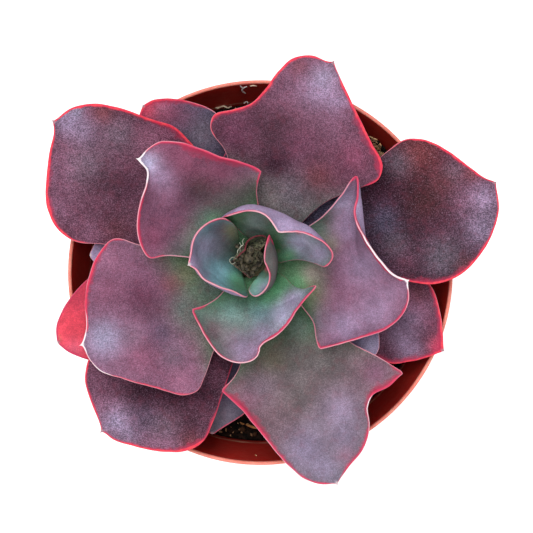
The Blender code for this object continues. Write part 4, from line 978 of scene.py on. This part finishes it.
def heart_material():
    """Dry, wrinkled, olive-brown growing point with a dark red rim on its largest scale."""
    skin = Shade("withered_heart")
    tint = skin.attribute("tint", "Color")
    edge = skin.attribute("edge")
    wrinkle = skin.noise(0.9, 4, 0.7)
    # Painted shade and highlight: the wrinkle noise that shapes the bump also darkens its hollows to near black and
    # lightens its ridges
    colour = skin.mix(1.0, tint, skin.grey(skin.ramp(wrinkle, 0.38, 0.62, 0.02, 2.3)), "MULTIPLY")
    colour = skin.mix(skin.ramp(skin.noise(1.3, 3, 0.6), 0.55, 0.72, 0.0, 0.6), colour, (0.26, 0.20, 0.13))
    line = skin.ramp(skin.maths("SUBTRACT", skin.attribute("red"), edge), -0.05, 0.2)
    colour = skin.mix(line, colour, (0.19, 0.022, 0.034))
    skin.set(Base_Color=colour, Roughness=0.5, Specular_IOR_Level=0.5)
    skin.set(Normal=skin.bump(wrinkle, 0.9, 1.4))
    return skin.material


def make_heart(material):
    """The withered growing point: a low core and its scales, joined into one piece."""
    profile = [(radius, RIM_HEIGHT + height) for radius, height in HEART_CORE]
    fine = [profile[0]]
    for start, end in zip(profile[:-1], profile[1:]):
        for share in np.linspace(0, 1, 6)[1:]:
            fine.append(tuple(start[i] + (end[i] - start[i]) * share for i in (0, 1)))
    points, faces = turned_points(fine, 40, HEART_AXIS)
    all_points = [np.array(points)]
    all_faces = [list(face) for face in faces]
    count = len(points)
    values = {"tint": [np.tile(np.array(OLIVE) * 0.6, (count, 1))], "edge": [np.full(count, 9.0)],
              "red": [np.zeros(count)]}
    for number, (name, scale) in enumerate(HEART_SCALES.items()):
        draw = np.random.default_rng(SEED + 100 + number)
        points, faces, stored = leaf_form(scale, HEART_LOOKS[name], 30, 20, draw)
        points, faces, stored = keep_used(points, faces, stored)
        all_points.append(points)
        all_faces += [[corner + count for corner in face] for face in faces]
        count += len(points)
        for key in values:
            values[key].append(stored[key])
    values = {key: np.concatenate(parts) for key, parts in values.items()}
    piece = mesh_piece("heart_fine", np.concatenate(all_points), all_faces, material, **values)
    place_piece(piece, "withered_heart", "heart")


def make_heart_bits():
    """Dry, whitish shreds and a small ring on the heart's left, and crumpled brown bits over it."""
    shreds = [[(-4.9, 10.8, 23.2), (-5.6, 9.8, 23), (-5.4, 8.8, 22.8), (-6.4, 7.8, 22.6), (-6.2, 6.6, 22.2)],
              [(-6.6, 9.4, 22.4), (-6.0, 8.4, 22.6), (-7.0, 7.0, 22.2), (-7.2, 5.6, 21.8)],
              [(-7.4, 4.2, 21.6), (-8.6, 4.8, 21.6), (-9.6, 3.8, 21.6), (-8.8, 2.7, 21.6), (-7.7, 3.2, 21.6)]]
    pale = plain_material("dry_shreds", (0.10, 0.11, 0.07), (0.46, 0.47, 0.38), 0.5, 0.35, 0.5)
    parts = [strand([in_place(*point) for point in path], 0.15) for path in shreds]
    place_piece(mesh_piece("heart_shreds", *joined(parts), pale), "withered_heart")
    draw = np.random.default_rng(SEED + 500)
    brown = plain_material("crumpled_scales", (0.003, 0.003, 0.002), (0.125, 0.100, 0.062), 0.9, 0.45, 0.9)
    spots = []
    for _ in range(24):
        across, down = draw.uniform(-1, 1), draw.uniform(0, 1)
        spots.append(in_place(-3.4 + across * 4.2 * (1 - 0.6 * down), 9.4 - 10.2 * down, 21.4 - 2.2 * down))
    sizes = draw.uniform(0.6, 1.3, (len(spots), 1)) * draw.uniform(0.35, 1.3, (len(spots), 3))
    scatter("heart_crumples", draw, np.array(spots), sizes, brown, "withered_heart", 3, 0.06)


def stem_material():
    """Green-brown bark with paler scars."""
    bark = Shade("stem_bark")
    rings = bark.noise(1.8, 4, 0.65, (0.35, 0.35, 1.6))
    colour = bark.mix(bark.ramp(rings, 0.3, 0.7), (0.075, 0.060, 0.030), (0.30, 0.24, 0.14))
    bark.set(Base_Color=colour, Roughness=0.8, Specular_IOR_Level=0.25)
    bark.set(Normal=bark.bump(rings, 0.5, 0.8))
    return bark.material


def make_stem(material):
    """The short stem, ringed with leaf scars."""
    foot = RIM_HEIGHT - SOIL_DEPTH - STEM_DEPTH_IN_SOIL + GAP
    profile = [(0, foot), (STEM_FOOT_RADIUS - 0.6, foot), (STEM_FOOT_RADIUS, foot + 0.6)]
    for height in np.linspace(-SOIL_DEPTH, STEM_TOP - 0.4, 90):
        scar = 0.22 * max(0.0, sin(height * 2 * pi / ATTACH_STEP)) ** 3
        profile.append((stem_radius(height) - 0.2 + scar, RIM_HEIGHT + height))
    profile.append((STEM_TOP_RADIUS - 0.4, RIM_HEIGHT + STEM_TOP))
    profile.append((0, RIM_HEIGHT + STEM_TOP))
    points, faces = turned_points(profile, 56, STEM_AXIS)
    place_piece(mesh_piece("stem_fine", points, faces, material), "stem_bark", "stem")


def inner_radius(height):
    """The pot's inner radius at a height above its base, below the soil's top."""
    share = height / (RIM_HEIGHT - COLLAR_HEIGHT)
    return BASE_RADIUS + (STEP_RADIUS - BASE_RADIUS) * share - WALL


def pot_material():
    """Satin red moulded plastic, paler on the lip, with faint dust and a dried line above the soil."""
    plastic = Shade("pot_plastic")
    height = plastic.node("SeparateXYZ", "Z", {"Vector": plastic.place})
    dust = plastic.noise(3.0, 5, 0.65)
    mould = plastic.noise(14, 2, 0.5, (1, 1, 0.2))
    wall = plastic.mix(plastic.ramp(mould, 0.3, 0.7), (0.37, 0.020, 0.014), (0.44, 0.028, 0.020))
    wall = plastic.mix(plastic.ramp(dust, 0.55, 0.8, 0.0, 0.3), wall, (0.45, 0.13, 0.10))
    soil_line = (RIM_HEIGHT - SOIL_DEPTH) * METRES
    waver = plastic.maths("MULTIPLY", plastic.noise(4.0, 3, 0.6), 0.0016)
    above = plastic.maths("SUBTRACT", plastic.maths("SUBTRACT", height, soil_line), waver)
    dried = plastic.maths("MULTIPLY", plastic.ramp(above, -0.0012, -0.0008), plastic.ramp(above, 0.0006, 0.0002))
    dried = plastic.maths("MULTIPLY", dried, plastic.ramp(dust, 0.35, 0.6, 0.25, 0.9))
    # Only on the inner face: there the distance from the axis is less than the wall's middle
    flat = plastic.node("VectorMath", "Vector", {0: plastic.place, 1: (1, 1, 0)}, operation="MULTIPLY")
    away = plastic.node("VectorMath", "Value", {0: flat}, operation="LENGTH")
    middle = (inner_radius(RIM_HEIGHT - SOIL_DEPTH) + WALL / 2) * METRES
    dried = plastic.maths("MULTIPLY", dried, plastic.ramp(away, middle + 0.0001, middle - 0.0001))
    wall = plastic.mix(dried, wall, (0.60, 0.30, 0.21))
    lip = plastic.mix(plastic.ramp(dust, 0.3, 0.7), (0.74, 0.20, 0.15), (0.84, 0.29, 0.22))
    top = (RIM_HEIGHT - RIM_LIP_HEIGHT) * METRES
    colour = plastic.mix(plastic.ramp(height, top, top + 0.0005), wall, lip)
    plastic.set(Base_Color=colour, Roughness=plastic.ramp(dust, 0.3, 0.7, 0.38, 0.52))
    fine = plastic.noise(0.5, 2, 0.5)
    plastic.set(Normal=plastic.bump(fine, 0.05, 0.25), Specular_IOR_Level=0.2)
    plastic.set(Subsurface_Weight=0.2, Subsurface_Scale=0.003, Subsurface_Radius=(1.0, 0.1, 0.06))
    return plastic.material


def arc(centre, radius, start, end, steps):
    """Points of an arc in the profile's plane, angles in degrees."""
    return [(centre[0] + radius * cos(radians(a)), centre[1] + radius * sin(radians(a)))
            for a in np.linspace(start, end, steps)]


def make_pot(material):
    """The thin wall with its collar, rolled lip and flat floor with drain holes."""
    step = RIM_HEIGHT - COLLAR_HEIGHT
    lip_low = RIM_HEIGHT - RIM_LIP_HEIGHT
    profile = [(0, 0)]
    profile += [(BASE_RADIUS - BASE_BEVEL, 0)]
    profile += arc((BASE_RADIUS - BASE_BEVEL, BASE_BEVEL), BASE_BEVEL, -80, -12, 8)
    for share in np.linspace(0, 1, 40)[1:]:
        height = BASE_BEVEL + (step - WALL - BASE_BEVEL) * share
        radius = BASE_RADIUS + (STEP_RADIUS - BASE_RADIUS) * share
        profile.append((radius, height))
    profile += arc((COLLAR_FOOT_RADIUS - 0.5, step - WALL + 0.5), 0.5, -90, 0, 6)
    profile += [(COLLAR_FOOT_RADIUS + 0.35 * share, step + (lip_low - step) * share) for share in (0.1, 0.5, 0.96)]
    profile += arc((RIM_RADIUS - 0.4, lip_low + 0.4), 0.4, -80, 0, 5)
    profile += arc((RIM_RADIUS - 0.55, RIM_HEIGHT - 0.55), 0.55, 0, 180, 12)
    profile += [(RIM_RADIUS - RIM_LIP - 0.02, RIM_HEIGHT - RIM_LIP_HEIGHT)]
    soil_line = RIM_HEIGHT - SOIL_DEPTH
    for share in np.linspace(0, 1, 12)[1:]:
        height = lip_low + (soil_line - lip_low) * share
        radius = RIM_RADIUS - RIM_LIP + (inner_radius(soil_line) - RIM_RADIUS + RIM_LIP) * share
        profile.append((radius, height))
    for share in np.linspace(0, 1, 24)[1:]:
        height = soil_line + (FLOOR + 0.8 - soil_line) * share
        profile.append((inner_radius(height), height))
    profile += arc((inner_radius(FLOOR) - 0.8, FLOOR + 0.8), 0.8, -20, -90, 5)
    profile += [(0, FLOOR)]
    points, faces = turned_points(profile, 192)
    pot = mesh_piece("pot_fine", points, faces, material)
    for hole in range(DRAIN_HOLES):
        angle = 2 * pi * (hole + 0.5) / DRAIN_HOLES
        centre = (DRAIN_RING * cos(angle), DRAIN_RING * sin(angle))
        points, faces = turned_points([(0, -FLOOR), (DRAIN_RADIUS, -FLOOR), (DRAIN_RADIUS, 2 * FLOOR),
                                       (0, 2 * FLOOR)], 32, centre)
        apply_boolean(pot, mesh_piece("drain", points, faces, material), "DIFFERENCE")
    pot.data.set_sharp_from_angle(angle=radians(40))
    place_piece(pot, "pot_plastic", "pot")


def soil_height(x, y):
    """The height of the soil's gently uneven surface."""
    return RIM_HEIGHT - SOIL_DEPTH + 0.7 * np.sin(x / 9) * np.cos(y / 11) + 0.5 * np.sin((x + y) / 6)


def soil_material():
    """Moist, nearly black potting mix."""
    mix = Shade("potting_mix")
    crumb = mix.noise(1.6, 5, 0.7)
    fleck = mix.spots(1.9)
    shade = mix.attribute("shade")
    colour = mix.mix(mix.ramp(crumb, 0.42, 0.64), (0.002, 0.0015, 0.001), (0.024, 0.012, 0.008))
    colour = mix.mix(mix.ramp(shade, 0.7, 0.95, 0.0, 0.85), colour, (0.11, 0.050, 0.026))
    colour = mix.mix(mix.ramp(shade, 0.965, 0.99, 0.0, 0.9), colour, (0.42, 0.26, 0.15))
    colour = mix.mix(mix.ramp(fleck, 0.16, 0.08, 0.0, 0.25), colour, (0.16, 0.09, 0.05))
    mix.set(Base_Color=colour, Roughness=mix.ramp(crumb, 0.3, 0.7, 0.55, 0.95), Specular_IOR_Level=0.12)
    mix.set(Normal=mix.bump(crumb, 0.6, 1.0))
    return mix.material


def make_soil(material):
    """The potting mix's body, with a crumbly top."""
    draw = np.random.default_rng(SEED + 200)
    floor = FLOOR + GAP
    edge_height = RIM_HEIGHT - SOIL_DEPTH - SOIL_EDGE_DIP
    edge = inner_radius(edge_height) - GAP
    ring_count, sides = 72, 220
    profile = [(0, floor), (inner_radius(floor) - GAP, floor)]
    profile += [(edge - 0.3, edge_height - 2), (edge, edge_height)]
    profile += [(edge * share, edge_height) for share in np.linspace(1, 0, ring_count)[1:-1]]
    profile.append((0, edge_height))
    points, faces = turned_points(profile, sides)
    points = np.array(points)
    top = points[:, 2] > edge_height - 0.1
    x, y = points[top, 0], points[top, 1]
    away = np.hypot(x, y)
    rough = [noise.fractal(Vector((a / 3.2, b / 3.2, 0.5)), 0.9, 2.1, 4) for a, b in zip(x, y)]
    hills = soil_height(x, y) + np.array(rough) * 1.0
    level = smooth_step(edge, edge - 4, away)
    points[top, 2] = edge_height + (hills - edge_height) * level + 0.5 * (1 - level)
    values = {"shade": draw.uniform(0, 0.4, len(points))}
    piece = mesh_piece("soil_fine", points, faces, material, **values)
    place_piece(piece, "potting_mix", "soil")


def unit_lump(detail):
    """Points and triangles of a round lump of radius 1."""
    made = bmesh.new()
    bmesh.ops.create_icosphere(made, subdivisions=detail, radius=1)
    points = np.array([tuple(vertex.co) for vertex in made.verts])
    faces = np.array([[vertex.index for vertex in face.verts] for face in made.faces])
    made.free()
    return points, faces


def random_turns(draw, count):
    """Random rotation matrices."""
    quaternions = draw.normal(size=(count, 4))
    quaternions /= np.linalg.norm(quaternions, axis=1)[:, None]
    w, x, y, z = quaternions.T
    return np.stack([
        np.stack([1 - 2 * (y * y + z * z), 2 * (x * y - z * w), 2 * (x * z + y * w)], -1),
        np.stack([2 * (x * y + z * w), 1 - 2 * (x * x + z * z), 2 * (y * z - x * w)], -1),
        np.stack([2 * (x * z - y * w), 2 * (y * z + x * w), 1 - 2 * (x * x + y * y)], -1)], 1)


def scatter(name, draw, places, sizes, material, slot, detail=1, roughness=0.25, shade=None):
    """One piece made of rough lumps at the given places; sizes holds each lump's three half-axes."""
    lump, triangles = unit_lump(detail)
    count = len(places)
    shapes = lump[None] * (1 + draw.normal(0, roughness, (count, len(lump), 1)))
    shapes = np.einsum("nij,nvj->nvi", random_turns(draw, count), shapes * sizes[:, None])
    points = (shapes + places[:, None]).reshape(-1, 3)
    offsets = np.arange(count)[:, None, None] * len(lump)
    faces = (triangles[None] + offsets).reshape(-1, 3).tolist()
    shade = draw.uniform(0, 1, count) if shade is None else shade
    piece = mesh_piece(name, points, faces, material, shade=np.repeat(shade, len(lump)))
    place_piece(piece, slot)


def soil_places(draw, count, inner, outer, lift):
    """Random places on the soil's top between two radii, not under the stem."""
    radius = np.sqrt(draw.uniform(inner**2, outer**2, count * 2))
    angle = draw.uniform(0, 2 * pi, count * 2)
    x, y = radius * np.cos(angle), radius * np.sin(angle)
    free = np.hypot(x - STEM_AXIS[0], y - STEM_AXIS[1]) > STEM_FOOT_RADIUS + 1.5
    x, y = x[free][:count], y[free][:count]
    return np.stack([x, y, soil_height(x, y) + lift], axis=1)


def plain_material(name, dark, light, size, roughness, bump=0.2):
    """A mottled natural material between two colours."""
    made = Shade(name)
    mottle = made.noise(size, 4, 0.6)
    made.set(Base_Color=made.mix(made.ramp(mottle, 0.3, 0.7), dark, light), Roughness=roughness)
    made.set(Normal=made.bump(mottle, bump, 0.7), Specular_IOR_Level=0.3)
    return made.material


def make_crumbs(material):
    """Loose crumbs, bark and perlite on the soil."""
    draw = np.random.default_rng(SEED + 300)
    edge = inner_radius(RIM_HEIGHT - SOIL_DEPTH) - GAP
    big = soil_places(draw, 620, 0, edge - 1.8, 0.1)
    sizes = draw.uniform(0.5, 1.5, (len(big), 1)) * draw.uniform(0.55, 1.2, (len(big), 3))
    scatter("soil_crumbs", draw, big, sizes, material, "potting_mix", 2)
    small = soil_places(draw, 2600, 0, edge - 0.9, 0.35)
    sizes = draw.uniform(0.2, 0.6, (len(small), 1)) * draw.uniform(0.6, 1.2, (len(small), 3))
    scatter("soil_grit", draw, small, sizes, material, "potting_mix", 1)
    bark = plain_material("bark_chips", (0.035, 0.016, 0.009), (0.17, 0.085, 0.04), 1.2, 0.8)
    chips = soil_places(draw, 90, 12, edge - 3, 0.5)
    sizes = draw.uniform(0.8, 1.9, (len(chips), 1)) * np.array([[1.3, 0.55, 0.25]])
    scatter("soil_bark", draw, chips, sizes, bark, "potting_mix", 2, 0.12)
    straw = plain_material("straw_flecks", (0.20, 0.09, 0.035), (0.62, 0.38, 0.20), 0.6, 0.85)
    flecks = soil_places(draw, 1500, 0, edge - 0.8, 0.8)
    sizes = draw.uniform(0.2, 0.5, (len(flecks), 1)) * np.array([[1.6, 0.7, 0.5]])
    scatter("soil_flecks", draw, flecks, sizes, straw, "potting_mix", 1, 0.15)
    white = plain_material("perlite", (0.42, 0.38, 0.32), (0.80, 0.77, 0.70), 0.8, 0.9)
    grains = soil_places(draw, 26, 14, edge - 3, 0.5)
    sizes = draw.uniform(0.4, 0.9, (len(grains), 1)) * draw.uniform(0.8, 1.2, (len(grains), 3))
    scatter("soil_perlite", draw, grains, sizes, white, "potting_mix", 2, 0.12)


def strand(path, radius, sides=8):
    """Points and faces of a root or a thread along a smooth path, tapering at both ends."""
    shares = np.linspace(0, 1, 12 * len(path))
    centre = smooth_path(path, shares)
    ahead = np.gradient(centre, axis=0)
    ahead /= np.linalg.norm(ahead, axis=1)[:, None]
    aside = np.cross(ahead, (0.3, 0.2, 1.0))
    aside /= np.linalg.norm(aside, axis=1)[:, None]
    above = np.cross(aside, ahead)
    around = np.linspace(0, 2 * pi, sides, endpoint=False)
    thick = radius * (0.35 + 0.65 * np.sin(pi * shares) ** 0.5)
    ring = aside[:, None] * np.cos(around)[None, :, None] + above[:, None] * np.sin(around)[None, :, None]
    points = (centre[:, None] + ring * thick[:, None, None]).reshape(-1, 3)
    rows = len(shares)
    faces = []
    for row in range(rows - 1):
        for side in range(sides):
            after = (side + 1) % sides
            a, b = row * sides + side, row * sides + after
            faces.append((a, b, b + sides, a + sides))
    faces.append(tuple(range(sides))[::-1])
    faces.append(tuple(range((rows - 1) * sides, rows * sides)))
    return points, faces


def joined(parts):
    """Points and faces of several meshes as one."""
    all_points, all_faces, count = [], [], 0
    for points, faces in parts:
        all_points.append(points)
        all_faces += [tuple(corner + count for corner in face) for face in faces]
        count += len(points)
    return np.concatenate(all_points), all_faces


def on_soil(x, y, lift=0.9):
    """The place over the soil that a point of the outlines' terms covers."""
    return in_place(x, y, -SOIL_DEPTH + lift)


def on_wall(x, y, lift=0.2):
    """The place on the pot's inner wall that a point of the outlines' terms covers."""
    low = inner_radius(RIM_HEIGHT - SOIL_DEPTH)
    for height in np.linspace(-RIM_LIP_HEIGHT, -SOIL_DEPTH, 120):
        place = in_place(x, y, height)
        wall = RIM_RADIUS - RIM_LIP + (RIM_RADIUS - RIM_LIP - low) * height / SOIL_DEPTH
        if hypot(place[0], place[1]) > wall - lift:
            return place
    return on_soil(x, y)


def make_threads():
    """Dry roots, a beige string and pale curls that lie in the pot, and bits of them on its wall."""
    pale = plain_material("dry_thread", (0.74, 0.68, 0.62), (0.92, 0.89, 0.85), 0.8, 0.85)
    wall_curl = [on_wall(-6.3, 58.2), on_wall(-5.6, 57.5), on_wall(-5.7, 56.7), on_wall(-4.6, 55.8)]
    branch = [on_wall(-5.6, 57.3), on_wall(-5.0, 57.7), on_wall(-4.2, 58.0)]
    hook = [on_soil(-5.1, 52.6), on_soil(-4.7, 53.3, 1.4), on_soil(-4.1, 53.2, 1.4), on_soil(-3.9, 52.7)]
    parts = [strand(wall_curl, 0.3), strand(branch, 0.22), strand(hook, 0.26)]
    place_piece(mesh_piece("pale_curls", *joined(parts), pale), "potting_mix")

    beige = plain_material("beige_string", (0.50, 0.36, 0.24), (0.78, 0.64, 0.48), 0.7, 0.9)
    string = [on_soil(-15.1, 51.9), on_soil(-13.4, 51.3, 1.3), on_soil(-11.6, 51.9, 1.2), on_soil(-10.2, 51.4, 1.3),
              on_soil(-8.9, 51.8)]
    smear = [on_wall(-3.3, 58.1), on_wall(-2.2, 58.3), on_wall(-1.1, 58.1)]
    parts = [strand(string, 0.32), strand(smear, 0.26), strand([on_soil(-9.3, 53.4), on_soil(-8.6, 53.6)], 0.22)]
    place_piece(mesh_piece("beige_string", *joined(parts), beige), "potting_mix")

    tan = plain_material("dry_roots", (0.45, 0.22, 0.08), (1.0, 0.70, 0.38), 0.8, 0.85)
    loop = [on_wall(34.2, 41.5), on_wall(35.2, 41.7), on_wall(36.1, 40.9), on_wall(35.4, 40.0), on_wall(34.4, 40.3),
            on_wall(34.6, 41.2)]
    curl = [on_soil(36.2, 39.8, 2), on_soil(37.4, 39.2, 3), on_soil(37.0, 38.0, 3), on_soil(38.2, 37.2, 3),
            on_soil(38.0, 36.2, 2), on_soil(38.9, 35.4, 1)]
    parts = [strand(loop, 0.3), strand(curl, 0.34)]
    draw = np.random.default_rng(SEED + 400)
    for _ in range(22):
        turn = radians(draw.uniform(42.5, 51.0))
        away = draw.uniform(51.6, 54.2)
        x, y = away * cos(turn), away * sin(turn)
        path = [on_wall(x + draw.uniform(-1.2, 1.2), y + draw.uniform(-1.2, 1.2), 2.4) for _ in range(5)]
        parts.append(strand(path, draw.uniform(0.16, 0.28)))
    parts.append(strand([on_wall(-1.7, -56.8), on_wall(-1.2, -57.0)], 0.12))
    place_piece(mesh_piece("dry_roots", *joined(parts), tan), "potting_mix")

    orange = plain_material("orange_chips", (0.42, 0.17, 0.05), (0.80, 0.42, 0.16), 0.6, 0.85)
    chip = [on_soil(-4.6, -47.3), on_soil(-3.0, -47.9, 1.4), on_soil(-1.0, -48.6)]
    splinter = [on_soil(-6.4, -46.6), on_soil(-5.6, -47.1, 1.2), on_soil(-5.0, -47.2)]
    parts = [strand(chip, 0.42), strand(splinter, 0.24)]
    place_piece(mesh_piece("orange_chips", *joined(parts), orange), "potting_mix")


def make_mound():
    """Nearly black lumps heaped against the wall, where the dry roots lie."""
    draw = np.random.default_rng(SEED + 600)
    # A nearly black colour, darker than the potting mix
    near_black = plain_material("near_black_soil", (0.001, 0.001, 0.001), (0.020, 0.010, 0.006), 0.6, 0.95)
    places = []
    for _ in range(240):
        away = draw.uniform(50.0, 54.6)
        turn = radians(draw.normal(46.5, 3.6))
        places.append(on_wall(away * cos(turn), away * sin(turn), 0.9))
    sizes = draw.uniform(0.35, 0.8, (len(places), 1)) * draw.uniform(0.6, 1.1, (len(places), 3))
    scatter("soil_mound", draw, np.array(places), sizes, near_black, "potting_mix", 2)


def make_stage():
    """A plain pale floor, soft lights and the camera."""
    floor_material = Shade("floor")
    floor_material.set(Base_Color=(0.6, 0.6, 0.6), Roughness=0.9, Specular_IOR_Level=0.1)
    floor_material.set(Emission_Color=(1.0, 1.0, 1.0), Emission_Strength=0.75)
    mesh = bpy.data.meshes.new("floor")
    size = 3.0
    mesh.from_pydata([(-size, -size, 0), (size, -size, 0), (size, size, 0), (-size, size, 0)], [], [(0, 1, 2, 3)])
    mesh.materials.append(floor_material.material)
    floor = bpy.data.objects.new("floor", mesh)
    bpy.context.collection.objects.link(floor)

    world = bpy.data.worlds.new("soft_daylight")
    bpy.context.scene.world = world
    world.use_nodes = True
    background = world.node_tree.nodes["Background"]
    background.inputs["Color"].default_value = (1.0, 1.0, 1.0, 1.0)
    background.inputs["Strength"].default_value = 0.45

    lights = (("key", (-0.3, 0.55, 1.35), 0.7, 9.5), ("fill", (0.2, -0.85, 1.0), 0.9, 5.5),
              ("above", (-0.1, 0.15, 1.6), 0.5, 8.0))
    for name, place, size, power in lights:
        light = bpy.data.lights.new(name, "AREA")
        light.shape = "DISK"
        light.size = size
        light.energy = power
        lamp = bpy.data.objects.new(name, light)
        lamp.location = place
        aim = Vector((0, 0, RIM_HEIGHT * METRES)) - lamp.location
        lamp.rotation_euler = aim.to_track_quat("-Z", "Y").to_euler()
        bpy.context.collection.objects.link(lamp)

    bpy.context.scene.view_settings.view_transform = "Standard"
    camera = bpy.data.cameras.new("camera")
    camera.sensor_width = SENSOR
    camera.lens = SENSOR * CAMERA_OVER_RIM / FRAME_WIDTH_AT_RIM
    camera.clip_start = 0.05
    viewer = bpy.data.objects.new("camera", camera)
    viewer.location = (CAMERA_AT[0] * METRES, CAMERA_AT[1] * METRES, (RIM_HEIGHT + CAMERA_OVER_RIM) * METRES)
    bpy.context.collection.objects.link(viewer)
    bpy.context.scene.camera = viewer


make_stage()
make_leaves(leaf_material())
make_heart(heart_material())
make_stem(stem_material())
make_pot(pot_material())
soil = soil_material()
make_soil(soil)
make_crumbs(soil)
make_mound()
make_threads()
make_heart_bits()
